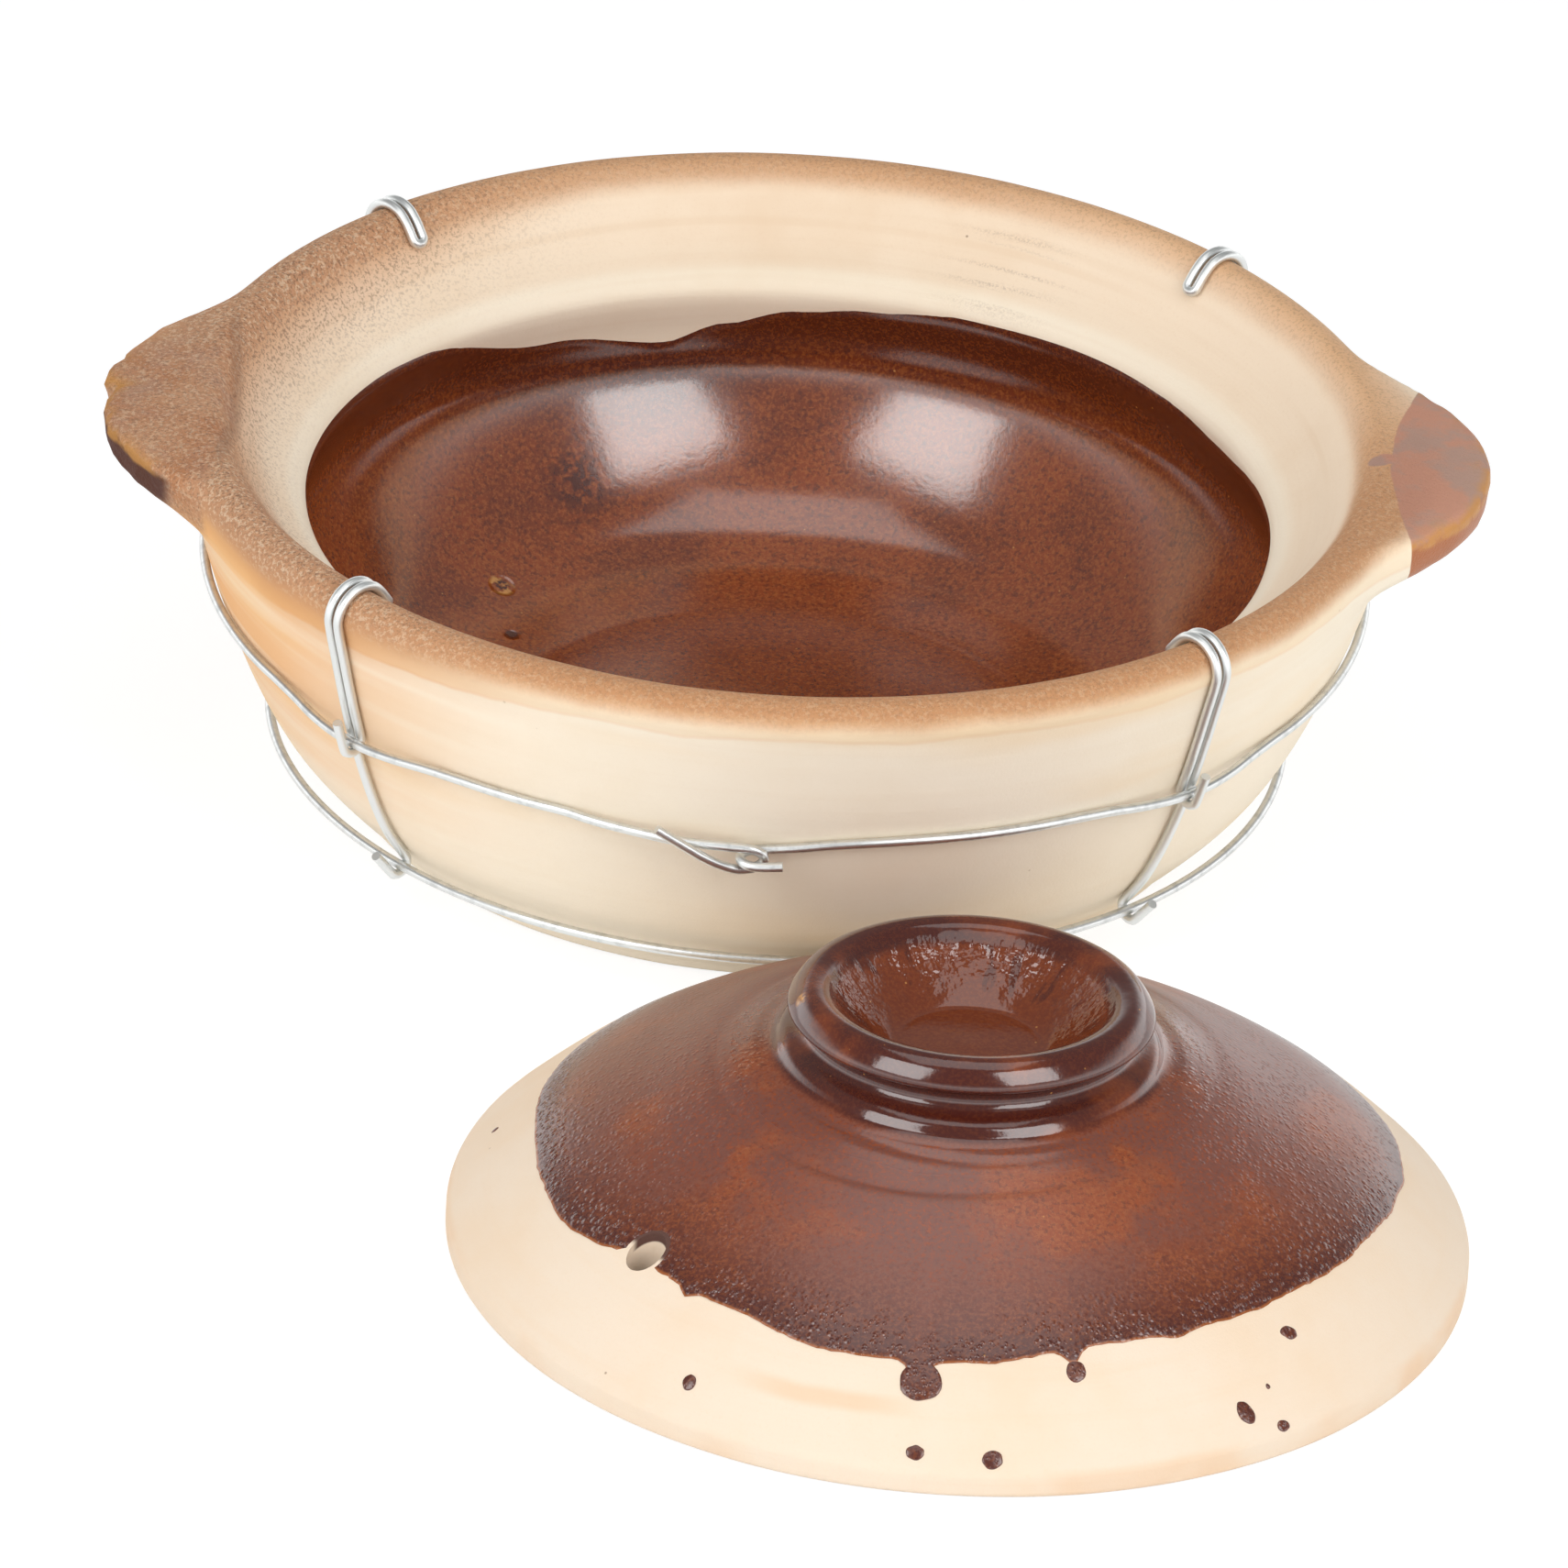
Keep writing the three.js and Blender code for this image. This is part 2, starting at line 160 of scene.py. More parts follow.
class WireSizes(bpy.types.PropertyGroup):
    radius: length("Wire radius", "Half the wire's thickness", 1.0)
    gap: length("Gap", "Room between touching pieces", 0.3)
    upper_height: length("Upper hoop", "Where the upper hoop touches the wall", 48.3)
    lower_height: length("Lower hoop", "Where the lower hoop is nearest the wall", 15)
    leg_spacing: length("Leg spacing", "Between the two legs of a tie", 2.6)
    fold_reach: length("Fold reach", "How far a tie's fold reaches down inside the lip", 4.8)
    stub: length("Stub", "Free end of a tie above its hoop", 7)
    lift_span: length("Lift span", "Length over which a hoop falls back from a tie to the wall", 24)


class Finishes(bpy.types.PropertyGroup):
    clay: colour("Clay", "Pale fired clay", 242, 222, 197)
    # Painted shade: the pot's clay made darker for the lid, whose top faces the lamps more
    lid_clay_with_painted_shade: colour("Lid clay", "Pale fired clay of the lid", 232, 214, 193)
    clay_shade: colour("Clay shade", "Warmer places in the clay", 230, 203, 172)
    flash: colour("Flash", "Orange blush from the kiln", 234, 172, 106)
    scorch: colour("Scorch", "Brown of the scorched rim at the left", 198, 146, 108)
    grit: colour("Grit", "Dark grains on the rim", 120, 88, 68)
    rust: colour("Rust", "Brown of the rim elsewhere", 200, 144, 98)
    tan: colour("Tan", "Light scorch round the rim", 226, 182, 138)
    wash: colour("Wash", "Brown wash on the lugs", 194, 138, 114)
    wash_grey: colour("Wash grey", "Grey places in the wash", 176, 140, 124)
    ochre: colour("Ochre", "Golden worn edges", 200, 142, 74)
    runs: colour("Runs", "Orange-brown glaze on the lugs' sides", 172, 98, 44)
    gold: colour("Gold", "Yellow places in the clay", 243, 206, 150)
    zinc: colour("Zinc", "Darker spangles of the wire", 160, 163, 163)
    speck: colour("Speck", "Iron specks in the clay", 120, 82, 56)
    glaze_dark: colour("Dark glaze", "Thick glaze", 70, 25, 17)
    glaze: colour("Glaze", "Middle tone of the glaze", 142, 65, 23)
    # Dull purple-brown glaze that also stands in for the sheen of a pale surround: painted sheen
    dull_glaze_and_sheen: colour("Dull glaze", "Purple-brown places on the lid", 104, 62, 54)
    glaze_thin: colour("Thin glaze", "Thin glaze over clay", 165, 90, 38)
    wire: colour("Wire", "Galvanised steel", 224, 226, 225)


class StageSettings(bpy.types.PropertyGroup):
    azimuth: degrees("Azimuth", "Direction of view, 0 looks along +Y", -0.3)
    elevation: degrees("Elevation", "Height of view above level", 28.0)
    roll: degrees("Roll", "Turn of the picture", 3.4)
    distance: length("Distance", "From the camera to the point that it looks at", 5985)
    aim: bpy.props.FloatVectorProperty(
        name="Aim", description="Point in the middle of the picture", size=3, subtype="TRANSLATION",
        default=(2.8 * MM, -69.8 * MM, 35 * MM))
    focal_pixels: amount("Focal length", "In pixels of the photograph", 32320)
    softbox_power: amount("Softbox power", "Watts of each softbox", 4.8)
    softbox_side: length("Softbox side", "Side of each softbox", 580)
    softbox_distance: length("Softbox distance", "From the object's middle", 1200)
    softbox_bearing: degrees("Softbox bearing", "Turn of a softbox from the front", 40)
    softbox_height: degrees("Softbox height", "Angle of a softbox above level", 36)
    overhead_power: amount("Overhead power", "Watts of the wide panel overhead", 3.0)
    overhead_side: length("Overhead side", "Side of the panel overhead", 900)
    overhead_height: degrees("Overhead height", "Angle of the panel above level", 84)
    horizon: amount("Horizon", "Brightness of the white surround at eye level", 1.9)
    ceiling: amount("Ceiling", "Brightness overhead", 0.25)
    floor_side: length("Floor side", "Side of the floor", 12000)
    floor_gap: length("Floor gap", "Room between the floor and the object", 0.05)
    floor_grey: amount("Floor grey", "Shade of the floor as it lights the object", 0.86)
    floor_dim: amount("Floor dim", "Shade of the floor that keeps shadows for the camera", 0.3)
    floor_glow: amount("Floor glow", "Brightness that the camera sees on top of that", 0.8)


# Outlines: (radius, height) points in metres

def spline(points, steps):
    """Smooth curve through the points, in a number of even steps."""
    knots = [np.array(point, float) for point in points]
    last = len(knots) - 1
    curve = []
    for i in range(steps + 1):
        place = last * i / steps
        k = min(int(place), last - 1)
        f = place - k
        a, b, c, d = knots[max(k - 1, 0)], knots[k], knots[k + 1], knots[min(k + 2, last)]
        bend = (2 * a - 5 * b + 4 * c - d) * f * f + (3 * b - a - 3 * c + d) * f ** 3
        curve.append(0.5 * (2 * b + (c - a) * f + bend))
    return curve


def arc(centre, radius, start, end, steps):
    angles = [start + (end - start) * i / steps for i in range(steps + 1)]
    return [np.array((centre[0] + radius * math.cos(a), centre[1] + radius * math.sin(a))) for a in angles]


def spaced(points, spacing):
    """The same line with its points an even distance apart."""
    run = along(points)
    count = max(2, int(round(run[-1] / spacing)) + 1)
    return values_at(np.linspace(0, run[-1], count), run, points)


def along(points):
    """Distance along a line at each of its points."""
    return np.concatenate([[0], np.cumsum(np.linalg.norm(np.diff(np.array(points), axis=0), axis=1))])


def values_at(places, run, rows):
    """Rows of numbers read between those known along a run."""
    return np.stack([np.interp(places, run, column) for column in np.array(rows).T], axis=-1)


def joined(*stretches):
    """One line from several, without the double points where they meet."""
    line = [stretches[0][0]]
    for stretch in stretches:
        for point in stretch:
            if np.linalg.norm(np.array(point) - line[-1]) > 1e-6:
                line.append(np.array(point, float))
    return np.array(line)


def lip_centre(pot):
    return np.array((pot.lip_radius, POT_HEIGHT - pot.lip_round))


def wall_curve(pot, steps=120):
    """Outer wall from the foot's round to the underside of the lip."""
    top = arc(lip_centre(pot), pot.lip_round, -pot.lip_undercut, 0, 1)[0]
    return spline([
        (pot.foot_radius, pot.foot_round),
        (pot.belly_radius, pot.belly_height),
        (pot.shoulder_radius, pot.shoulder_height),
        top,
    ], steps)


def flange_slope(pot):
    """Slope of the cone inside the rim, which runs from the lid seat to touch the round of the lip."""
    to_lip = lip_centre(pot) - np.array((pot.seat_radius, pot.seat_height))
    return math.atan2(to_lip[1], to_lip[0]) + math.asin(pot.lip_round / np.linalg.norm(to_lip))


def bowl_curve(pot):
    """Inside of the bowl from the middle of its floor over the soft ledge of the lid seat to the flange."""
    inner_seat = pot.seat_radius - pot.seat_width
    slope = flange_slope(pot)
    on_flange = (pot.seat_radius + 6 * MM * math.cos(slope), pot.seat_height + 6 * MM * math.sin(slope))
    rise = spline([
        (pot.floor_radius, pot.floor_thickness),
        (pot.toe_radius, pot.toe_height),
        (pot.knee_radius, pot.knee_height),
        (pot.inner_belly_radius, pot.inner_belly_height),
        (inner_seat + 0.2 * MM, pot.seat_height - 4.5 * MM),
        (inner_seat + 0.8 * MM, pot.seat_height - 1.5 * MM),
        (inner_seat + 2.6 * MM, pot.seat_height + 0.5 * MM),
        (pot.seat_radius + 0.6 * MM, pot.seat_height + 2.3 * MM),
        on_flange,
    ], 220)
    sunk = [(0, pot.floor_thickness - 0.4 * MM), (pot.floor_radius * 0.6, pot.floor_thickness - 0.3 * MM)]
    return joined(sunk, rise)


def dome_curve(lid):
    """Outer curve of the lid from the flat under the knob to the top of its edge."""
    return np.array(spline([
        (lid.radius, lid.edge_height),
        (lid.haunch_radius, lid.haunch_height),
        (lid.crown_radius, lid.crown_height),
        (lid.knob_foot, LID_TOP),
    ], 90))[::-1]


def turned(radius, bearing, height):
    """Points at radii, bearings and heights."""
    return np.stack([radius * np.cos(bearing), radius * np.sin(bearing), height], axis=-1)


def bearings(places):
    return np.arctan2(places[:, 1], places[:, 0])


# Meshes: a profile is drawn point by point and spun

BATCH = 4096            # points compared with a profile at a time
HOLE_SIDES = 48


def deselect_all():
    for thing in bpy.context.view_layer.objects:
        thing.select_set(False)


def select_only(piece):
    deselect_all()
    piece.select_set(True)
    bpy.context.view_layer.objects.active = piece


def start_piece(name):
    """The object just added, alone and named."""
    piece = bpy.context.object
    piece.name = name
    piece.data.name = name
    return piece


def spun(name, profile, columns):
    """A profile drawn by extruding one point along it, then spun round the Z axis."""
    deselect_all()
    bpy.ops.mesh.primitive_plane_add(size=MM)
    piece = start_piece(name)
    bpy.ops.object.mode_set(mode="EDIT")
    bpy.ops.mesh.merge(type="CENTER")
    bpy.ops.transform.translate(value=(profile[0][0], 0, profile[0][1]))
    for here, there in zip(profile, profile[1:]):
        step = (there[0] - here[0], 0, there[1] - here[1])
        bpy.ops.mesh.extrude_region_move(TRANSFORM_OT_translate={"value": step})
    bpy.ops.mesh.select_all(action="SELECT")
    bpy.ops.mesh.spin(steps=columns, angle=2 * math.pi, center=(0, 0, 0), axis=(0, 0, 1))
    bpy.ops.mesh.select_all(action="SELECT")
    bpy.ops.mesh.remove_doubles(threshold=0.01 * MM)
    bpy.ops.mesh.normals_make_consistent(inside=False)
    bpy.ops.object.mode_set(mode="OBJECT")
    bpy.ops.object.shade_smooth()
    return piece


def points_of(piece):
    flat = np.empty(3 * len(piece.data.vertices))
    piece.data.vertices.foreach_get("co", flat)
    return flat.reshape(-1, 3)


def move_points(piece, places):
    piece.data.vertices.foreach_set("co", np.asarray(places, float).ravel())
    piece.data.update()


def mark_points(piece, name, values):
    """Keeps one number per point, for the material to read."""
    mark = piece.data.attributes.new(name, "FLOAT", "POINT")
    mark.data.foreach_set("value", np.asarray(values, np.float32))


def rows_of(places, profile):
    """For each point of a spun mesh, the number of the profile point that it came from."""
    flat = np.stack([np.hypot(places[:, 0], places[:, 1]), places[:, 2]], axis=1)
    line = np.asarray(profile)
    rows = np.empty(len(flat), int)
    for start in range(0, len(flat), BATCH):
        part = slice(start, start + BATCH)
        rows[part] = ((flat[part, None, :] - line[None]) ** 2).sum(axis=2).argmin(axis=1)
    return rows


def face_up(piece):
    """Turns an open coat so that its middle faces up."""
    middle = min(piece.data.polygons, key=lambda face: face.center.x ** 2 + face.center.y ** 2)
    if middle.normal.z < 0:
        bpy.ops.object.mode_set(mode="EDIT")
        bpy.ops.mesh.select_all(action="SELECT")
        bpy.ops.mesh.flip_normals()
        bpy.ops.object.mode_set(mode="OBJECT")


def uneven(piece, strength, size):
    """Hand-made unevenness: soft waves along the surface's normal."""
    texture = bpy.data.textures.new(piece.name + "_waves", "CLOUDS")
    texture.noise_scale = size
    bpy.context.view_layer.objects.active = piece
    bpy.ops.object.modifier_add(type="DISPLACE")
    waves = piece.modifiers[-1]
    waves.texture = texture
    waves.texture_coords = "LOCAL"
    waves.strength = strength
    bpy.ops.object.modifier_apply(modifier=waves.name)
    bpy.data.textures.remove(texture)


def bored(piece, centre, radius, depth):
    """Cuts a round hole straight down through a piece."""
    bpy.ops.mesh.primitive_cylinder_add(vertices=HOLE_SIDES, radius=radius, depth=depth, location=centre)
    drill = bpy.context.object
    select_only(piece)
    bpy.ops.object.modifier_add(type="BOOLEAN")
    cut = piece.modifiers[-1]
    cut.operation = "DIFFERENCE"
    cut.object = drill
    bpy.ops.object.modifier_apply(modifier=cut.name)
    bpy.data.objects.remove(drill)


def smooth_step(value, low, high):
    share = np.clip((value - low) / (high - low), 0, 1)
    return share * share * (3 - 2 * share)


def round_line(bearing, marks):
    """A closed wavy line through (bearing in degrees, value) marks, eased from mark to mark."""
    marks = sorted(marks)
    first, last = marks[0], marks[-1]
    marks = [(last[0] - 360, last[1])] + marks + [(first[0] + 360, first[1])]
    turn = np.degrees(bearing) % 360
    value = np.zeros_like(turn)
    for (a, low), (b, high) in zip(marks, marks[1:]):
        inside = (turn >= a) & (turn <= b)
        value[inside] = low + (high - low) * smooth_step(turn[inside], a, b)
    return value


def finish_piece(piece, material, body, slot, *nodes):
    piece.data.materials.append(material)
    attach(piece, body)
    if nodes:
        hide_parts(*nodes)


# Materials

class Tree:
    """Node tree of a material or of the world, built node by node."""

    def __init__(self, tree):
        self.nodes = tree.nodes
        self.links = tree.links

    def add(self, kind, sockets=None, **settings):
        """A node with its settings, and with its inputs fed by name or number."""
        node = self.nodes.new(kind)
        for name, value in settings.items():
            setattr(node, name, value)
        for socket, value in (sockets or {}).items():
            self.feed(node.inputs[socket], value)
        return node

    def feed(self, socket, value):
        """Links an output to an input, or sets the input's own value."""
        value = value.socket if isinstance(value, Value) else value
        if isinstance(value, bpy.types.NodeSocket):
            self.links.new(value, socket)
        elif hasattr(value, "__len__") and len(value) == 3 and len(socket.default_value) == 4:
            socket.default_value = (*value, 1.0)
        else:
            socket.default_value = value

    def math(self, operation, first, second=0.0):
        node = self.add("ShaderNodeMath", {0: first, 1: second}, operation=operation)
        return Value(self, node.outputs[0])

    def step(self, value, low, high, ends=None):
        """Eases from 0 to 1, or between other ends, as a value goes from low to high."""
        sockets = {"Value": value, "From Min": low, "From Max": high, **(ends or {})}
        node = self.add("ShaderNodeMapRange", sockets, interpolation_type="SMOOTHSTEP")
        return Value(self, node.outputs["Result"])


class Value:
    """A number or mask that a node gives. Arithmetic on it adds nodes, and a | b is the greater of two."""

    def __init__(self, tree, socket):
        self.tree = tree
        self.socket = socket

    def __add__(self, other):
        return self.tree.math("ADD", self, other)

    def __sub__(self, other):
        return self.tree.math("SUBTRACT", self, other)

    def __rsub__(self, other):
        return self.tree.math("SUBTRACT", other, self)

    def __mul__(self, other):
        return self.tree.math("MULTIPLY", self, other)

    def __truediv__(self, other):
        return self.tree.math("DIVIDE", self, other)

    def __or__(self, other):
        return self.tree.math("MAXIMUM", self, other)

    def __abs__(self):
        return self.tree.math("ABSOLUTE", self)

    def step(self, low, high):
        return self.tree.step(self, low, high)

    def past(self, low, high):
        """A mask that eases from 0 to 1 between two distances in millimetres."""
        return self.step(low * MM, high * MM)

    def until(self, low, high):
        return 1.0 - self.past(low, high)

    def band(self, middle, half):
        """A mask that is 1 at a distance in millimetres and falls off either side."""
        return abs(self - middle * MM).until(0.25 * half, half)

    def wobble(self, reach, scale, detail=3.0):
        """A distance pushed to and fro by noise, over a reach in millimetres."""
        return self + (self.tree.noise(scale, detail) - 0.5) * (2 * reach * MM)


class Paint(Tree):
    """One procedural material on Object coordinates, laid on coat by coat."""

    def __init__(self, name, centre=(0, 0, 0)):
        self.material = bpy.data.materials.new(name)
        self.material.use_nodes = True
        super().__init__(self.material.node_tree)
        here = self.add("ShaderNodeTexCoord").outputs["Object"]
        shift = {"Vector": here, "Location": [-value for value in centre]}
        self.place = self.add("ShaderNodeMapping", shift).outputs["Vector"]
        axes = self.add("ShaderNodeSeparateXYZ", {0: self.place}).outputs
        self.x, self.y, self.z = [Value(self, axis) for axis in axes]
        self.radius = self.math("SQRT", self.x * self.x + self.y * self.y)
        self.base = self.normal = None

    def value(self, name):
        """A number kept at the points of the mesh."""
        return Value(self, self.add("ShaderNodeAttribute", attribute_name=name).outputs["Fac"])

    def noise(self, scale, detail=2.0, rough=0.5, place=None):
        sockets = {"Vector": self.place if place is None else place,
                   "Scale": scale, "Detail": detail, "Roughness": rough}
        return Value(self, self.add("ShaderNodeTexNoise", sockets).outputs["Fac"])

    def stretched(self, *scale):
        return self.add("ShaderNodeMapping", {"Vector": self.place, "Scale": scale}).outputs["Vector"]

    def noise_at(self, scale, *axes):
        """Noise at a place made of three numbers."""
        return self.noise(scale, 3.0, place=self.add("ShaderNodeCombineXYZ", dict(enumerate(axes))).outputs[0])

    def spokes(self, scale):
        """Noise that runs in rays from the axis."""
        return self.noise_at(scale, self.x / self.radius, self.y / self.radius, self.radius * 12)

    def spots(self, scale, core, edge, low, high):
        """A mask of round spots in some of the cells of a pattern."""
        cells = self.add("ShaderNodeTexVoronoi", {"Vector": self.place, "Scale": scale, "Randomness": 1.0})
        draw = self.add("ShaderNodeSeparateColor", {0: cells.outputs["Color"]}).outputs[0]
        return (1.0 - self.step(cells.outputs["Distance"], core, edge)) * self.step(draw, low, high)

    def near(self, spot, radius, soft):
        """A mask that is 1 within a radius of a spot, in millimetres."""
        ends = {0: self.place, 1: [value * MM for value in spot]}
        away = self.add("ShaderNodeVectorMath", ends, operation="DISTANCE").outputs["Value"]
        return Value(self, away).until(radius - soft, radius + soft)

    def mix(self, factor, first, second, blend="MIX"):
        sockets = {0: factor, 6: first, 7: second}
        return self.add("ShaderNodeMix", sockets, data_type="RGBA", blend_type=blend).outputs[2]

    def lay(self, tone, mask, blend="MIX"):
        """Lays a colour over the base where a mask is 1."""
        self.base = self.mix(mask, self.base, tone, blend)

    def emboss(self, height, distance, strength):
        """Adds relief to the surface, its distance in millimetres."""
        sockets = {"Strength": strength, "Distance": distance * MM, "Height": height}
        if self.normal is not None:
            sockets["Normal"] = self.normal
        self.normal = self.add("ShaderNodeBump", sockets).outputs["Normal"]

    def finished(self, roughness, **constants):
        sockets = {"Base Color": self.base, "Roughness": roughness, "Normal": self.normal, **constants}
        for name, value in sockets.items():
            self.feed(self.nodes["Principled BSDF"].inputs[name], value)
        return self.material


def bare_clay(name, finish, clay, centre=(0, 0, 0)):
    """Sandy clay: mottled, faintly ringed from the wheel, with grain and iron specks."""
    paint = Paint(name, centre)
    paint.base = clay
    paint.lay(finish.clay_shade, paint.noise(22, 4, 0.6).step(0.40, 0.75) * 0.6)
    rings = paint.noise(1.0, 4, 0.6, paint.stretched(9, 9, 260))
    paint.lay(finish.clay_shade, rings.step(0.5, 0.72) * 0.22)
    grain = paint.noise(1500, 3, 0.7)
    paint.lay(finish.clay_shade, grain.step(0.52, 0.74) * 0.25)
    paint.lay(finish.speck, paint.spots(150, 0.03, 0.06, 0.86, 0.87) * 0.6)
    paint.emboss(rings, 0.3, 0.5)
    paint.emboss(grain, 0.10, 0.5)
    return paint


def pot_clay(finish):
    """Clay of the pot: kiln blush on the left, brown scorched rim, brown wash on the lugs."""
    paint = bare_clay("pot_clay", finish, finish.clay)
    x, y, z = paint.x, paint.y, paint.z
    crest = paint.value("from_crest")
    below, around_crest = crest * -1.0, abs(crest)
    outside = crest.until(-1, 1)
    inside = 1.0 - outside
    left = x.wobble(12, 12).until(-108, -30)
    left_inside = left * inside
    right = x.wobble(10, 14).past(20, 80) * y.past(-20, 35)
    front = y.until(-95, -30)
    # Painted light: the whole outer wall is screened paler, as if lit more from the front
    paint.lay((0.55, 0.5, 0.36), outside * 0.85, "SCREEN")
    # Painted light: the bare band inside, under the lid seat, is screened paler to lift the ledge's shade
    paint.lay((0.55, 0.46, 0.32), crest.past(23, 27) * 0.7, "SCREEN")

    # Outer wall: blush in bands, a tide line under the rim, faint runs
    bands = paint.noise(1.0, 3, 0.6, paint.stretched(7, 7, 110)).step(0.30, 0.62)
    blush = x.wobble(18, 14).until(-124, -34) * outside * z.wobble(14, 16).past(0, 52) * (bands * 0.6 + 0.4)
    paint.lay(finish.flash, blush * 0.95)
    tide = below.wobble(3.2, 22, 1.0).wobble(0.5, 140, 2) - (left * (5 * MM) + 11 * MM)
    fade = (left * 0.5 + 0.28) * (1.0 - right * 0.7)
    fringe = tide.until(-1.0, 0.2) * outside * fade
    paint.lay(paint.mix(left, finish.gold, finish.flash), fringe)
    paint.lay(finish.flash, tide.band(-0.3, 0.7) * outside * fade * 0.5)
    runs = paint.noise(1.0, 3, 0.5, paint.stretched(8, 8, 45)).step(0.50, 0.72)
    paint.lay(finish.gold, outside * runs * 0.35)
    paint.lay(finish.rust, left * outside * below.wobble(3, 40).until(7, 19) * 0.8)
    paint.lay(finish.flash, front * outside * below.wobble(1.5, 60).until(3, 9) * 0.5)

    # Flange: traces of the wheel
    groove = crest.wobble(0.9, 9, 1.0).band(15, 1.3)
    paint.lay(finish.clay_shade, groove * paint.noise(16, 2).step(0.40, 0.6) * 0.35)
    throwing = paint.noise_at(1.0, x * 10, y * 10, crest * 420)
    paint.lay(finish.clay_shade, inside * throwing.step(0.5, 0.75) * 0.14)
    smudge = paint.near((42, 98, 69), 11, 9) * throwing.step(0.48, 0.66)
    paint.lay(finish.grit, smudge * paint.noise(2200, 2, 0.7).step(0.42, 0.62) * 0.3)

    # Rim: tan, then a brown sandy band
    tan = 1.0 - (around_crest.wobble(2.0, 60, 4) / (left_inside * (15 * MM) + 10 * MM)).step(0.0, 1.0)
    browner = left_inside | front * 0.6
    paint.lay(paint.mix(browner, finish.tan, finish.rust), tan * 0.95)
    dark_grain = paint.noise(1350, 3, 0.75).step(0.49, 0.62)
    light_grain = paint.noise(1050, 3, 0.75).step(0.50, 0.60)
    paint.lay(finish.grit, left_inside * dark_grain * around_crest.wobble(4, 40).until(14, 34) * 0.4)
    band = around_crest.wobble(1.3, 45, 3).wobble(0.5, 500, 2) / (left * (2.6 * MM) + 8.4 * MM)
    band = (1.0 - band.step(0.45, 1.05)) * (1.0 - right * 0.75) * (1.0 - y.past(60, 105) * 0.35)
    paint.lay(paint.mix(left, finish.rust, finish.scorch), band * 0.9)
    paint.lay(finish.grit, tan * dark_grain * (left * 0.45 + 0.3))
    paint.lay(finish.clay_shade, band * light_grain * (left * 0.4 + 0.25))

    # Lugs: a wash with a tongue on the right one, sand and a seam on the left one, worn edges
    tongue = paint.near((119.2, -0.8, 80.8), 2.2, 0.3) | paint.near((121, 0.4, 80.6), 2.2, 0.3)
    right_lug = (x - y * y * 4.5).wobble(0.8, 90, 2).past(121.7, 122.1) | tongue
    right_lug = right_lug * z.past(69.6, 70.4)
    seam = (x + y * y * 2.4).wobble(2.2, 50, 4)
    left_lug = seam.until(-115.0, -112.6) * z.wobble(1.5, 90).past(66, 72) * (1.0 - outside * y.past(8, 30) * 0.7)
    greyed = paint.noise(70, 4, 0.65).step(0.46, 0.62)
    burnt = paint.noise(48, 3, 0.6).step(0.42, 0.62)
    sanded = finish.scorch
    for tone, mask in ((finish.runs, burnt * 0.55), (finish.wash_grey, greyed * 0.4),
                       (finish.grit, dark_grain * 0.55), (finish.clay_shade, light_grain * 0.4)):
        sanded = paint.mix(mask, sanded, tone)
    paint.lay(paint.mix(greyed, finish.wash, finish.wash_grey), right_lug * 0.96)
    paint.lay(sanded, left_lug * 0.85)
    paint.lay(finish.grit, seam.band(-113.4, 2.0) * inside * abs(y).until(34, 50) * 0.3)
    low = z.wobble(0.9, 110).until(76.9, 78.2)
    faces = right_lug * low
    paint.lay(finish.runs, faces * 0.92)
    left_face = left_lug * low * y.wobble(2, 80).until(-6, -2) * x.until(-127, -124)
    paint.lay(finish.glaze_dark, left_face * 0.92)
    tips = right_lug | left_lug * x.until(-131, -125)
    worn = z.wobble(1.0, 150).band(77.6, 2.0) * paint.noise(210, 3).step(0.34, 0.56)
    paint.lay(finish.ochre, tips * outside * worn * 0.85)

    paint.emboss((band | left_lug | right_lug * 0.4) * paint.noise(1300, 3, 0.7), 1.0, 0.8)
    paint.emboss(inside * throwing, 0.25, 0.3)
    paint.emboss(fringe, 0.25, 0.5)
    return paint.finished(faces * -0.5 + 0.88)


def lid_clay_with_painted_shade(lid, finish):
    """Clay of the lid: plain and pale, a darker copy of the pot's clay as painted shade, with a faint yellow run,
    and dark glaze with painted shadow in the vent's upper side.
    """
    paint = bare_clay("lid_clay_with_painted_shade", finish, finish.lid_clay_with_painted_shade, (LID_X, LID_Y, 0))
    run = paint.near((-24, -88, 16), 15, 9) * paint.radius.wobble(1.6, 30).band(92.5, 2.2)
    paint.lay(finish.tan, run * 0.45)
    edge = paint.radius.wobble(1.0, 40).past(100.4, 102)
    paint.lay(finish.tan, edge * paint.noise(26, 3).step(0.46, 0.62) * 0.4)
    vent = vent_place(lid)
    away = vent.xy.normalized()
    uphill = vent.xy.length - (paint.x * away.x + paint.y * away.y)
    under = uphill * 0.65 + vent.z - paint.z
    # Dark glaze and painted shadow: the upper side of the vent's bore is coloured dark
    glaze_and_shadow_crescent = uphill.past(-0.5, 1.0) * paint.near(vent / MM, 7, 0.5) * under.until(1.6, 2.1)
    paint.lay(finish.glaze_dark, glaze_and_shadow_crescent * 0.95)
    return paint.finished(0.88)


def brown_glaze(paint, finish, thick, speckle):
    """Red-brown glaze: dark where it is thick, speckled orange where it is thin."""
    paint.base = paint.mix(thick, finish.glaze, finish.glaze_dark)
    paint.lay(finish.glaze_thin, paint.noise(1300, 3, 0.7).step(0.46, 0.60) * (1.0 - thick * 0.7) * speckle)
    paint.lay(finish.glaze_dark, paint.noise(900, 3, 0.7).step(0.50, 0.64) * speckle * 0.75)
    paint.lay(finish.ochre, paint.spots(300, 0.04, 0.09, 0.86, 0.87) * 0.7)


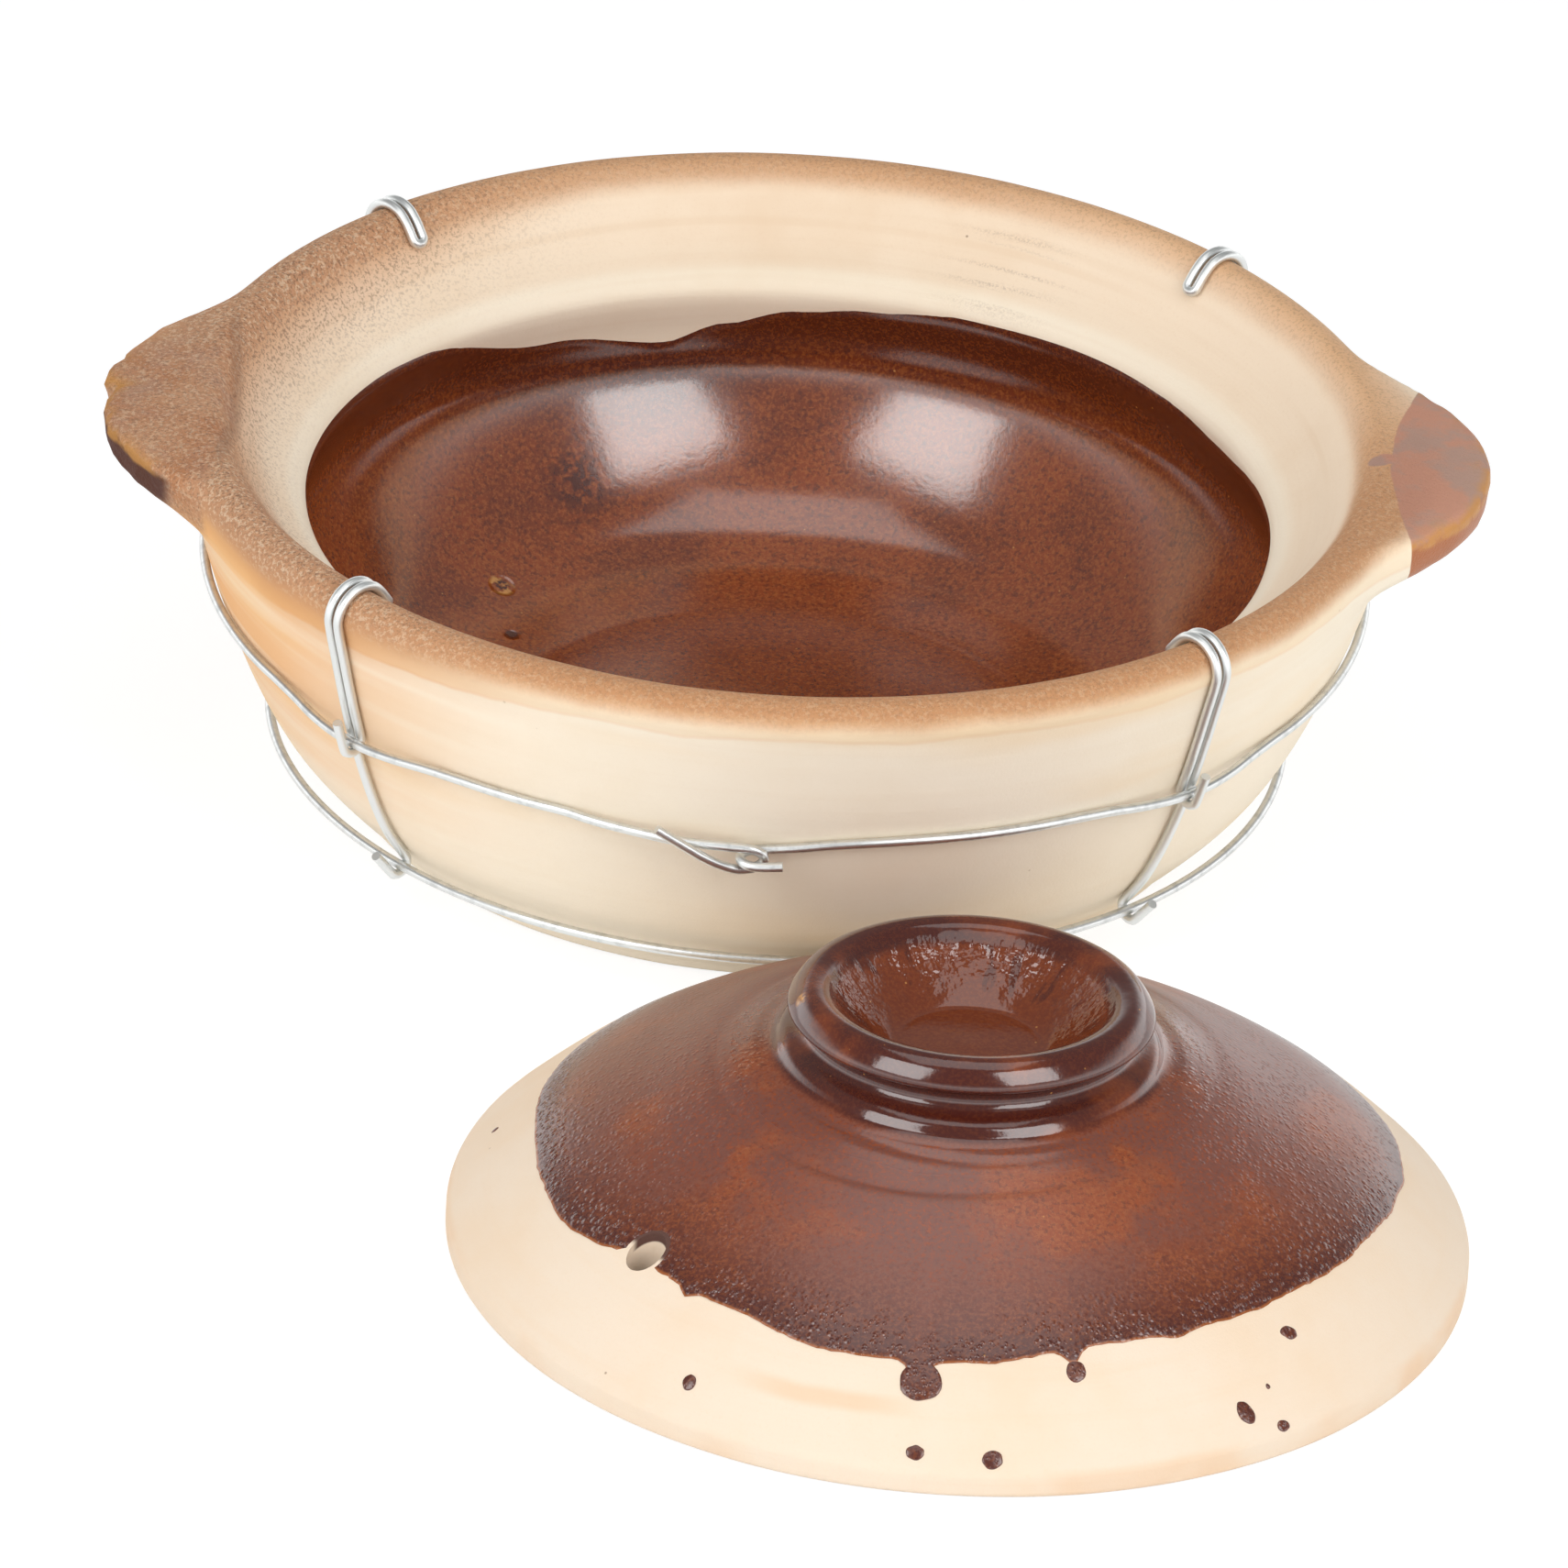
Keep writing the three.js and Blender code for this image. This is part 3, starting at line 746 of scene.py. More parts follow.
def bowl_glaze(finish):
    """Glaze in the bowl: dark under its line, warm on the low wall, glossy with a soft orange peel."""
    paint = Paint("bowl_glaze")
    high = paint.value("to_edge").wobble(6, 30).until(5, 30)
    clouds = paint.noise(38, 4, 0.6).step(0.44, 0.66)
    low = paint.radius.past(66, 50)
    brown_glaze(paint, finish, high * 0.92 | clouds * 0.4 | low * 0.3, 0.75)
    blotch = paint.near((-45, 80, 23), 8, 6) * paint.noise(500, 3).step(0.40, 0.56)
    paint.lay(finish.glaze_dark, blotch * 0.85)
    crater = (-58, 51, 13.5)
    pit = paint.near(crater, 2.8, 0.5)
    hole = paint.near(crater, 1.7, 0.6) * paint.noise(500, 2).step(0.5, 0.6)
    spot = paint.near((-55.4, 36, 9.8), 1.5, 0.6)
    paint.lay(finish.ochre, pit * paint.noise(420, 2).step(0.40, 0.55))
    paint.lay(finish.glaze_dark, hole | spot)
    paint.emboss(paint.noise(160, 2, 0.5), 0.08, 0.5)
    paint.emboss(paint.noise(900, 2, 0.6), 0.03, 0.6)
    paint.emboss(1.0 - (pit | spot), 0.5, 0.8)
    return paint.finished(0.17, IOR=2.0)


def lid_glaze(finish):
    """Glaze on the lid: satin, blistered towards its edge, glossy and dark on the knob, and purple-brown in dull
    places that also hold painted sheen.
    """
    paint = Paint("lid_glaze", (LID_X, LID_Y, 0))
    radius = paint.radius
    knob = radius.until(38.5, 41)
    dome = 1.0 - knob
    to_edge = paint.value("to_edge")
    rim = to_edge.wobble(5, 26).until(2, 17)
    wide = to_edge.wobble(7, 24).until(4, 30) * paint.y.until(-10, 40)
    sides = abs(paint.x).wobble(10, 20).past(24, 62)
    cup = radius.until(27, 29) * radius.past(15, 21)
    streaks = cup * (paint.spokes(6).step(0.48, 0.58) * 0.95 | 0.35) * paint.noise(80, 3).step(0.34, 0.50)
    lip = knob * radius.past(25, 28) * paint.noise(40, 3).step(0.28, 0.52)
    thick = (rim * 0.95 | wide * 0.8) * dome | streaks * 0.9 | lip | knob * 0.5
    brown_glaze(paint, finish, thick, knob * -0.4 + 0.65)
    # Dull glaze with painted sheen: purple-brown patches laid into the dome's colour
    dull_and_sheen = dome * (1.0 - rim * 0.7) * (1.0 - wide * 0.6) * (1.0 - paint.noise(24, 4, 0.6).step(0.50, 0.62) * 0.8)
    paint.lay(finish.dull_glaze_and_sheen, dull_and_sheen * paint.noise(1300, 3, 0.7).step(0.30, 0.56) * 0.85)
    paint.lay(finish.runs, to_edge.until(0.3, 0.9) * 0.7)
    top = LID_TOP / MM
    chips = paint.near((-34.5, -7, top + 13), 1.8, 0.6) | paint.near((-5, 35, top + 11.5), 1.6, 0.6)
    paint.lay(finish.ochre, chips * paint.noise(420, 2).step(0.34, 0.5))
    bubbles = paint.spots(560, 0.1, 0.5, 0.15, 0.5) | paint.spots(900, 0.1, 0.5, 0.15, 0.5)
    crowded = (rim | sides * 0.6) * paint.noise(110, 3).step(0.30, 0.48) * dome
    ridges = cup * radius.past(21, 26) * paint.y.past(-4, 12)
    paint.emboss(paint.noise(130, 3, 0.6), 0.18, 0.4)
    paint.emboss(paint.noise(420, 3, 0.6) * sides * dome, 0.3, 0.5)
    paint.emboss(paint.noise(900, 2, 0.6), 0.03, 0.6)
    paint.emboss(bubbles * crowded, 0.28, 0.65)
    paint.emboss(ridges * paint.spokes(9), 1.2, 0.6)
    paint.emboss(cup * paint.noise(210, 3, 0.6), 1.6, 0.5)
    gloss = knob | radius.wobble(3, 30).until(42, 52) * 0.8 | rim * 0.5
    return paint.finished(gloss * -0.24 + 0.36, IOR=1.7)


def galvanised(finish):
    """Drawn wire with a spangled zinc coat."""
    paint = Paint("galvanised_wire")
    spangle = paint.noise(380, 3, 0.6)
    paint.base = finish.wire
    paint.lay(finish.zinc, spangle.step(0.45, 0.7) * 0.35)
    paint.emboss(paint.noise(900, 2), 0.05, 0.4)
    return paint.finished(spangle * 0.2 + 0.26, Metallic=1.0)


# Pieces

POT_COLUMNS = LID_COLUMNS = 288
GLAZE_COLUMNS = 360     # of the lid's glaze, for its drips
HOLE_CORE = 0.66        # points of a coat within this share of a hole's radius are dropped
HOLE_PULL = 3.2         # and those within so many radii are drawn back from it

# Edges of the glaze: height in the bowl and radius on the lid at bearings in degrees, in millimetres
BOWL_LINE = [
    (0, 63.3), (9, 61.3), (27, 57.4), (41, 60.0), (53, 61.3), (70, 60.0), (82, 57.7), (91, 55.9), (99, 52.0),
    (106, 47.5), (120, 51.2), (144, 61.3), (151, 64.0), (165, 65.5), (181, 65.5), (205, 63.0), (250, 58.5),
    (290, 58.0), (325, 56.0), (349, 61.0)]
LID_LINE = [(7, 88.5), (19, 89.5), (45, 87.5), (90, 86.0), (135, 87.0), (161, 86.9), (183, 85.0), (206, 85.8),
            (212, 84.6), (217, 83.0), (220.7, 81.5), (225, 82.5), (239, 83.1), (253, 85.4), (271, 84.8),
            (290, 82.3), (318, 83.0), (342, 84.3), (355, 86.4)]
# Fingers that run past the lid's line: (bearing, length, half width in degrees)
LID_DRIPS = [(231, 1.5, 1.3), (265.8, 3.6, 1.5), (286.5, 2.4, 1.4), (302, 0.8, 2.0)]
# Throwing grooves that show through the lid's glaze: (radius, depth), and the bearing where they are deepest
LID_GROOVES = [(42.0, 0.5), (50.0, 0.6)]
GROOVES_DEEPEST, GROOVES_SPREAD = 240, 42
LID_POOL = 0.8 * MM     # extra glaze round the knob's foot
# Underside of a lug: (height above its start, share of the lug's reach)
LUG_UNDERSIDE = [(0, 0), (3, 0.1), (5.5, 0.4), (7.2, 0.7), (8.8, 0.93), (10.5, 1)]
# Chip in the left lug's edge: its place, half width and depth
CHIP_Y, CHIP_WIDTH, CHIP_DEPTH = 2.5 * MM, 2.4 * MM, 1.9
LID_CREASE = math.radians(50)


def lug_outline(pot, bearing, side):
    """How far a lug's edge stands out past the lip, eased into the lip's outer side."""
    outer = pot.lip_radius + pot.lip_round
    middle = pot.lug_reach - pot.lug_radius
    turn = bearing - pot.lug_turn if side > 0 else bearing - math.pi
    turn = np.arctan2(np.sin(turn), np.cos(turn))
    inside = pot.lug_radius ** 2 - (middle * np.sin(turn)) ** 2
    reach = middle * np.cos(turn) + np.sqrt(np.maximum(inside, 0))
    reach = np.where((inside > 0) & (np.cos(turn) > 0), reach, 0)
    over = np.clip((reach - outer) / pot.lug_blend, -40, 40)
    out = pot.lug_blend * np.log1p(np.exp(over))
    return out if side > 0 else out * (1 - pot.left_worn / (pot.lug_reach - outer))


def lug_section(pot, wall, reach):
    """Outer side in a plane through the axis, from below a lug to the lip's crest, drawn out by a reach."""
    full = float(smooth_step(reach, 0, 8 * MM))
    top = POT_HEIGHT - pot.lug_drop * full
    corner = pot.lip_round - 2.6 * MM * full
    edge = pot.lip_radius + pot.lip_round + reach
    heights, shares = np.array(LUG_UNDERSIDE).T
    side = [(r + reach * np.interp(z, pot.lug_bottom + heights * MM, shares), z) for r, z in wall]
    side = [p for p in side if p[1] < top - corner - 0.3 * MM]
    rounding = arc((edge - corner, top - corner), corner, 0, math.pi / 2, 8)
    return np.array(joined(side, rounding, [(pot.lip_radius, POT_HEIGHT)]))


def shape_lugs(pot, places, rows, profile, first, last):
    """Draws the upper wall and the outer half of the lip out into the two lugs, the left one chipped."""
    bearing = bearings(places)
    run = along(profile[first:last + 1])
    share = run / run[-1]
    lip_foot = lip_centre(pot)[1] - pot.lip_round * math.sin(pot.lip_undercut)
    wall = [p for p in wall_curve(pot, 240) if pot.lug_bottom - 1e-6 <= p[1] <= lip_foot + 1e-6]
    wall = joined([profile[first]], wall)
    shaped = places.copy()
    for side in (1, -1):
        reaches = lug_outline(pot, bearing, side)
        inside = np.nonzero((reaches > 0.02 * MM) & (rows > first) & (rows < last))[0]
        sections = {}
        for i in inside:
            key = round(float(reaches[i]), 6)
            if key not in sections:
                line = lug_section(pot, wall, reaches[i])
                section_run = along(line)
                sections[key] = values_at(share * section_run[-1], section_run, line)
            radius, height = sections[key][rows[i] - first]
            full = float(smooth_step(reaches[i], 0, 10 * MM))
            out = full * float(smooth_step(radius, 122 * MM, 134 * MM))
            spot = Vector(turned(radius, bearing[i], height))
            coarse, fine = noise.noise(spot * 110), noise.noise(spot * 330)
            if side > 0:
                rough = (0.35 * coarse + 0.15 * fine) * MM * full
            else:
                chip = CHIP_DEPTH * math.exp(-((spot.y - CHIP_Y) / CHIP_WIDTH) ** 2)
                rough = (coarse + 0.45 * fine - chip) * MM * out + 0.3 * fine * MM * full
            shaped[i] = turned(radius + rough, bearing[i], height + rough * 0.35)
    return shaped


class CASSEROLE_OT_pot(bpy.types.Operator):
    """Turns the clay pot and draws its two lugs out of the rim"""
    bl_idname = "casserole.pot"
    bl_label = "Clay pot"

    def execute(self, context):
        pot = context.scene.casserole_pot
        centre = lip_centre(pot)
        foot_centre = (pot.foot_radius - pot.foot_round, pot.foot_round)
        foot_edge = arc(foot_centre, pot.foot_round, -math.pi / 2, 0, 4)
        foot = spaced([(0, 0), foot_edge[0]], 7 * MM)
        wall = wall_curve(pot)
        low_wall = spaced([p for p in wall if p[1] <= pot.lug_bottom], 2 * MM)
        high_wall = [p for p in wall if p[1] > pot.lug_bottom]
        lip = arc(centre, pot.lip_round, -pot.lip_undercut, math.pi / 2, 24)
        outer_side = spaced(joined([low_wall[-1]], high_wall, lip), 0.8 * MM)
        inner_lip = arc(centre, pot.lip_round, math.pi / 2, math.pi / 2 + flange_slope(pot), 8)
        bowl = bowl_curve(pot)[::-1]
        flange = spaced([inner_lip[-1], bowl[0]], 2 * MM)
        inside = spaced(bowl, 1.6 * MM)
        profile = joined(foot, foot_edge, low_wall, outer_side, inner_lip, flange, inside)
        piece = spun("pot_ware", profile, POT_COLUMNS)
        places = points_of(piece)
        rows = rows_of(places, profile)
        first = int(np.abs(profile - low_wall[-1]).sum(axis=1).argmin())
        last = int(np.abs(profile - outer_side[-1]).sum(axis=1).argmin())
        run = along(profile)
        mark_points(piece, "from_crest", run[rows] - run[last])
        move_points(piece, shape_lugs(pot, places, rows, profile, first, last))
        uneven(piece, strength=0.3 * MM, size=35 * MM)
        finish_piece(piece, pot_clay(context.scene.casserole_finishes), "pot", "clay",
                     "pot_body", "right_lug", "left_lug")
        return {"FINISHED"}


def ripples(bearing, *waves):
    """Small waves round a circle, each (how close, how high in millimetres)."""
    ways = [Vector((math.cos(b), math.sin(b), 0)) for b in bearing]
    return np.array([sum(noise.noise(way * close) * high for close, high in waves) for way in ways]) * MM


class CASSEROLE_OT_bowl_glaze(bpy.types.Operator):
    """Pours the brown glaze into the bowl, up to its wavy line"""
    bl_idname = "casserole.bowl_glaze"
    bl_label = "Glaze in the bowl"

    def execute(self, context):
        pot = context.scene.casserole_pot
        line = bowl_curve(pot)
        run = along(line)
        curve = spaced(line, 1.4 * MM)
        piece = spun("bowl_glaze", curve, POT_COLUMNS)
        places = points_of(piece)
        bearing = bearings(places)
        mark = round_line(bearing, BOWL_LINE) * MM + ripples(bearing, (8, 0.2), (60, 0.08))
        brow = int(np.argmax(line[:, 1] > pot.seat_height - 2.4 * MM))
        soft = 1.0 * MM
        mark = line[brow, 1] - soft * np.log1p(np.exp((line[brow, 1] - mark) / soft))
        edge_run = np.interp(mark, line[:brow + 1, 1], run[:brow + 1])
        at = along(curve)[rows_of(places, curve)]
        floor_edge = pot.floor_radius
        stretch = (edge_run - floor_edge) / (at.max() - floor_edge)
        at = np.where(at > floor_edge, floor_edge + (at - floor_edge) * stretch, at)
        to_edge = edge_run - at
        coat = pot.glaze_thickness * np.sqrt(np.clip(to_edge / (1.2 * MM), 0, 1)) - 0.06 * MM
        point, way = values_at(at, run, line), values_at(at, run, np.gradient(line, run, axis=0))
        move_points(piece, turned(point[:, 0] - way[:, 1] * coat, bearing, point[:, 1] + way[:, 0] * coat))
        mark_points(piece, "to_edge", to_edge)
        face_up(piece)
        finish_piece(piece, bowl_glaze(context.scene.casserole_finishes), "pot", "brown_glaze")
        return {"FINISHED"}


def place_lid(piece):
    """Moves a piece turned on the origin to the lid's place, in its mesh."""
    move_points(piece, points_of(piece) + np.array((LID_X, LID_Y, 0)))


def vent_place(lid):
    """Point of the dome's outside where the vent is bored straight down."""
    dome = dome_curve(lid)
    height = np.interp(lid.vent_from_axis, dome[:, 0], dome[:, 1])
    return Vector(turned(lid.vent_from_axis, lid.vent_bearing, height))


class CASSEROLE_OT_lid(bpy.types.Operator):
    """Turns the lid's clay dome and bores its vent"""
    bl_idname = "casserole.lid"
    bl_label = "Clay lid"

    def execute(self, context):
        lid = context.scene.casserole_lid
        ceiling = LID_TOP - lid.wall
        underside = spline([
            (lid.knob_foot, ceiling - lid.wall / 4),
            (lid.crown_radius - lid.wall / 2, lid.crown_height - lid.wall),
            (lid.haunch_radius - lid.wall, lid.haunch_height - lid.wall / 2),
            (lid.radius - lid.rim_width, 0),
        ], 60)
        round_edge = 1.1 * MM
        lower = arc((lid.radius - round_edge, round_edge), round_edge, -math.pi / 2, 0, 4)
        dome = dome_curve(lid)[::-1]
        profile = joined(
            spaced([(0, ceiling), underside[0]], 5 * MM),
            spaced(underside, 2.2 * MM),
            spaced([underside[-1], lower[0]], 2 * MM),
            lower,
            spaced([lower[-1], (lid.radius, lid.edge_height - 0.8 * MM)], 1 * MM),
            [(lid.radius - 0.25 * MM, lid.edge_height + 0.1 * MM)],
            spaced(dome, 1.6 * MM)[1:],
            spaced([dome[-1], (0, LID_TOP)], 5 * MM),
        )
        piece = spun("lid_ware", profile, LID_COLUMNS)
        uneven(piece, strength=0.25 * MM, size=40 * MM)
        bored(piece, vent_place(lid), lid.vent_radius, 8 * lid.wall)
        bpy.ops.object.shade_smooth_by_angle(angle=LID_CREASE)
        place_lid(piece)
        finish_piece(piece, lid_clay_with_painted_shade(lid, context.scene.casserole_finishes), "lid", "clay", "lid_dome")
        return {"FINISHED"}


def knob_profile(lid):
    """Knob from the middle of its cup, over the lip, down the neck and out over its rounded foot."""
    height = lid.knob_height / MM
    cup, mouth, lip, neck, foot = lid.knob_cup, lid.knob_mouth, lid.knob_lip, lid.knob_neck, lid.knob_foot
    # Radius, millimetres added to it, and millimetres above the dome's flat
    inner = [
        (0, 0, 0.9), (cup * 0.75, 0, 0.7), (cup, 0, 1.3), ((cup + mouth) / 2, 1.2, 6.6),
        (mouth, -0.4, height - 2.4), (mouth, 0.9, height - 0.7), (lid.knob_crest, 0, height),
        (lip, -2.7, height - 0.8), (lip, -1.5, height - 2.1), (lip, -0.35, height - 3.9), (lip, 0, 8.4)]
    outer = [
        (lip, 0, 8.4), (lip, -0.4, 7.8), (neck, 2.0, 7.2), (neck, 0.8, 6.4), (neck, 0.3, 5.4), (neck, 0.5, 4.4),
        (neck, 1.8, 3.4), (foot, -0.8, 2.2), (foot, 0.2, 0.9), (foot, 0.7, 0.25)]
    return joined(*[spline([(radius + more * MM, LID_TOP + rise * MM) for radius, more, rise in rows], steps)
                    for rows, steps in ((inner, 100), (outer, 80))])


def drips(bearing):
    """How far the glaze's fingers run past its line."""
    turn = np.degrees(bearing) % 360
    reach = np.zeros_like(turn)
    for middle, run, width in LID_DRIPS:
        reach += run * MM * np.exp(-((turn - middle) / width) ** 2)
    return reach


class CASSEROLE_OT_lid_glaze(bpy.types.Operator):
    """Turns the knob and the glaze that runs down from it to a wavy edge"""
    bl_idname = "casserole.lid_glaze"
    bl_label = "Knob and lid glaze"

    def execute(self, context):
        lid = context.scene.casserole_lid
        dome = dome_curve(lid)
        run = along(dome)
        radii = dome[:, 0]
        knob = spaced(knob_profile(lid), 0.8 * MM)
        coat = spaced(dome[(radii <= lid.glaze_reach) & (radii > lid.knob_foot + 2 * MM)], 1.1 * MM)
        profile = joined(knob, coat)
        piece = spun("lid_glaze", profile, GLAZE_COLUMNS)
        places = points_of(piece)
        rows = rows_of(places, profile)
        on_dome = rows >= len(knob)
        bearing = bearings(places)
        stretch = np.interp(glaze_edge(bearing), radii, run) / np.interp(lid.glaze_reach, radii, run)
        radius = np.interp(np.interp(profile[rows][:, 0], radii, run) * stretch, run, radii)
        flat = turned(radius, bearing, places[:, 2])[:, :2]
        flat, from_vent, inside = round_hole(piece, flat, vent_place(lid).xy, lid.vent_radius + 0.35 * MM, on_dome)
        bearing = bearings(flat)
        radius = np.hypot(flat[:, 0], flat[:, 1])
        at = np.interp(radius, radii, run)
        to_edge = np.interp(glaze_edge(bearing), radii, run) - at
        way = values_at(at, run, np.gradient(dome, run, axis=0))
        brink = np.sqrt(np.clip(np.minimum(to_edge, from_vent) / (0.7 * MM), 0, 1))
        pool = smooth_step(radius, 38.5 * MM, 43 * MM) * (1 - smooth_step(radius, 52 * MM, 66 * MM))
        thickness = (lid.glaze_thickness + LID_POOL * pool) * brink - 0.05 * MM
        deepest = np.exp(-((np.degrees(bearing) % 360 - GROOVES_DEEPEST) / GROOVES_SPREAD) ** 2)
        for groove, depth in LID_GROOVES:
            swing = 1.4 * np.sin(bearing * 2 + groove)
            cut = np.exp(-((radius / MM - groove - swing) / 0.9) ** 2)
            thickness -= cut * depth * MM * (0.2 + 0.8 * deepest)
        height = np.interp(radius, radii, dome[:, 1]) + way[:, 0] * thickness
        coated = turned(radius - way[:, 1] * thickness, bearing, height)
        lean = lid.knob_lean * smooth_step(places[:, 2], LID_TOP + 0.5 * MM, LID_TOP + 8 * MM)
        leaning = places.copy()
        leaning[:, 1] += (places[:, 2] - LID_TOP) * lean
        leaning[:, 2] -= places[:, 1] * lean
        move_points(piece, np.where(on_dome[:, None], coated, leaning))
        mark_points(piece, "to_edge", np.where(on_dome, to_edge, 60 * MM))
        remove_points(piece, inside)
        place_lid(piece)
        finish_piece(piece, lid_glaze(context.scene.casserole_finishes), "lid", "brown_glaze", "lid_knob")
        return {"FINISHED"}


def glaze_edge(bearing):
    """Radius of the glaze's wavy edge, with its drips."""
    return round_line(bearing, LID_LINE) * MM + drips(bearing) + ripples(bearing, (14, 0.35), (60, 0.22))


def round_hole(piece, flat, centre, radius, part):
    """Draws a coat's points back from a round hole: new places, distances from the hole, points to drop."""
    offset = flat - np.array(centre)
    reach = np.maximum(np.hypot(offset[:, 0], offset[:, 1]), 1e-7)
    core, far = HOLE_CORE * radius, HOLE_PULL * radius
    inside = part & (reach < core)
    brim = np.zeros(len(flat), bool)
    for face in piece.data.polygons:
        corners = list(face.vertices)
        if inside[corners].any():
            brim[corners] = True
    brim &= ~inside
    drawn = radius + (reach - core) * (far - radius) / (far - core)
    drawn = np.where(brim, radius, drawn)
    moved = part & (reach < far)
    scale = np.where(moved, drawn / reach, 1.0)
    distance = np.where(moved, drawn - radius, far)
    return np.array(centre) + offset * scale[:, None], distance, inside


def remove_points(piece, points):
    """Takes away some points and the faces that touch them."""
    select_only(piece)
    bpy.ops.object.mode_set(mode="EDIT")
    bpy.ops.mesh.select_all(action="DESELECT")
    bpy.ops.object.mode_set(mode="OBJECT")
    piece.data.vertices.foreach_set("select", points)
    bpy.ops.object.mode_set(mode="EDIT")
    bpy.ops.mesh.select_mode(type="VERT")
    bpy.ops.mesh.delete(type="VERT")
    bpy.ops.object.mode_set(mode="OBJECT")


# Splashes on the lid's bare clay: (bearing, radius, half length, half width, turn), degrees and millimetres
SPLASHES = [
    (266.3, 88.2, 4.3, 4.0, 0), (286.6, 86.2, 2.4, 2.0, 0), (238, 96.0, 1.7, 1.4, 20), (318.4, 88.4, 1.9, 1.4, 60),
    (307, 97.2, 2.5, 1.7, 15), (266.6, 98.9, 1.5, 1.8, 0), (275.4, 99.4, 1.9, 2.1, 10), (311, 100.6, 1.2, 1.5, 0),
    (311.4, 94.6, 0.6, 0.5, 0), (59, 93.5, 1.4, 1.1, 30), (112, 95.5, 1.8, 1.3, 0), (172, 94, 0.9, 0.7, 0)]


class CASSEROLE_OT_splashes(bpy.types.Operator):
    """Drops of glaze that fell on the bare clay of the lid"""
    bl_idname = "casserole.splashes"
    bl_label = "Glaze splashes"

    def execute(self, context):
        lid = context.scene.casserole_lid
        dome = dome_curve(lid)
        drops = []
        for number, (bearing, radius, long_half, wide_half, turn) in enumerate(SPLASHES):
            deselect_all()
            bpy.ops.mesh.primitive_uv_sphere_add(segments=28, ring_count=14, radius=1.0)
            drop = bpy.context.object
            angle = math.radians(bearing)
            height = np.interp(radius * MM, dome[:, 0], dome[:, 1])
            i = int(np.argmin(np.abs(dome[:, 0] - radius * MM)))
            i = min(max(i, 1), len(dome) - 2)
            fall = dome[i + 1] - dome[i - 1]
            fall = fall / np.linalg.norm(fall)
            down = Vector(turned(fall[0], angle, fall[1]))
            side = Vector((-math.sin(angle), math.cos(angle), 0))
            twist = Matrix.Rotation(math.radians(turn), 3, down.cross(side))
            down, side = twist @ down, twist @ side
            out = down.cross(side)
            spot = Vector(turned(radius * MM, angle, height) + (LID_X, LID_Y, 0))
            thickness = min(0.45, 0.2 + 0.05 * wide_half) * MM
            shaped = []
            for vertex in points_of(drop):
                swell = 1 + 0.16 * noise.noise(Vector((vertex[0], vertex[1], number * 3.7)) * 1.3)
                shaped.append(spot + down * vertex[0] * long_half * MM * swell
                              + side * vertex[1] * wide_half * MM * swell + out * vertex[2] * thickness)
            move_points(drop, shaped)
            bpy.ops.object.shade_smooth()
            drops.append(drop)
        deselect_all()
        for drop in drops:
            drop.select_set(True)
        bpy.context.view_layer.objects.active = drops[0]
        bpy.ops.object.join()
        piece = start_piece("lid_splashes")
        mark_points(piece, "to_edge", np.full(len(piece.data.vertices), 4 * MM))
        finish_piece(piece, bpy.data.materials["lid_glaze"], "lid", "brown_glaze")
        return {"FINISHED"}


# Wire: routes as (x, y, z) points in metres

WIRE_BEVEL = 4          # steps in a quarter of a wire's round
ROUTE_STEPS = 4         # points of a wire for each point of its route
WIRE_CREASE = math.radians(40)
TURN_STEPS = 6          # steps in half a turn of a wire
HOOP_STEPS = 84         # steps in a hoop between the ends of its splice
SPLICE_STEPS = 18       # half the splice's length in wire spacings
SPLICE_STEP = 1.1       # how far its layers lie apart in wire spacings
UPPER_SPLICE, LOWER_SPLICE = math.radians(-90), math.radians(90)


class Wall:
    """The pot's outer wall, to lay wire on."""

    def __init__(self, pot):
        self.curve = np.array(wall_curve(pot, 600))
        self.slopes = np.gradient(self.curve, axis=0)

    def at(self, height, offset):
        """Point at a height moved out along the normal, the way up the wall, and the normal."""
        point = np.array([np.interp(height, self.curve[:, 1], self.curve[:, 0]), height])
        up = values_at(height, self.curve[:, 1], self.slopes)
        up = up / np.linalg.norm(up)
        normal = np.array((up[1], -up[0]))
        return point + normal * offset, up, normal


def around(point, bearing, sideways=0.0):
    c, s = math.cos(bearing), math.sin(bearing)
    return np.array((point[0] * c - sideways * s, point[0] * s + sideways * c, point[1]))


def wire_piece(name, route, radius, finish, node):
    """A round wire along a route: a poly curve with a round bevel and closed ends, made a mesh."""
    data = bpy.data.curves.new(name, "CURVE")
    data.dimensions = "3D"
    data.bevel_depth = radius
    data.bevel_resolution = WIRE_BEVEL
    data.use_fill_caps = True
    smooth = spline(route, ROUTE_STEPS * (len(route) - 1))
    path = data.splines.new("POLY")
    path.points.add(len(smooth) - 1)
    for point, place in zip(path.points, smooth):
        point.co = (*place, 1.0)
    piece = bpy.data.objects.new(name, data)
    bpy.context.collection.objects.link(piece)
    select_only(piece)
    bpy.ops.object.convert(target="MESH")
    piece = start_piece(name + "_wire")
    bpy.ops.object.shade_smooth_by_angle(angle=WIRE_CREASE)
    finish_piece(piece, finish, "pot", "galvanised_wire", node)


TIE_BEARINGS = {
    "tie_back_right": math.radians(45),
    "tie_back_left": math.radians(135),
    "tie_front_left": math.radians(225),
    "tie_front_right": math.radians(315),
}
MIRRORED_TIE = "tie_front_right"


def clearances(wire):
    """How far a wire's middle stays from a wall, and from the middle of a wire that it crosses."""
    return wire.gap + wire.radius, 2 * wire.radius + wire.gap


def hoop_offset(bearing, radius, resting, over_tie, spacing, span):
    """How far a hoop's middle stands off the wall: it is lifted where it crosses a tie."""
    nearest = min(abs(math.atan2(math.sin(bearing - tie), math.cos(bearing - tie))) * radius
                  for tie in TIE_BEARINGS.values())
    return over_tie + (resting - over_tie) * float(smooth_step(nearest, spacing, spacing + span))


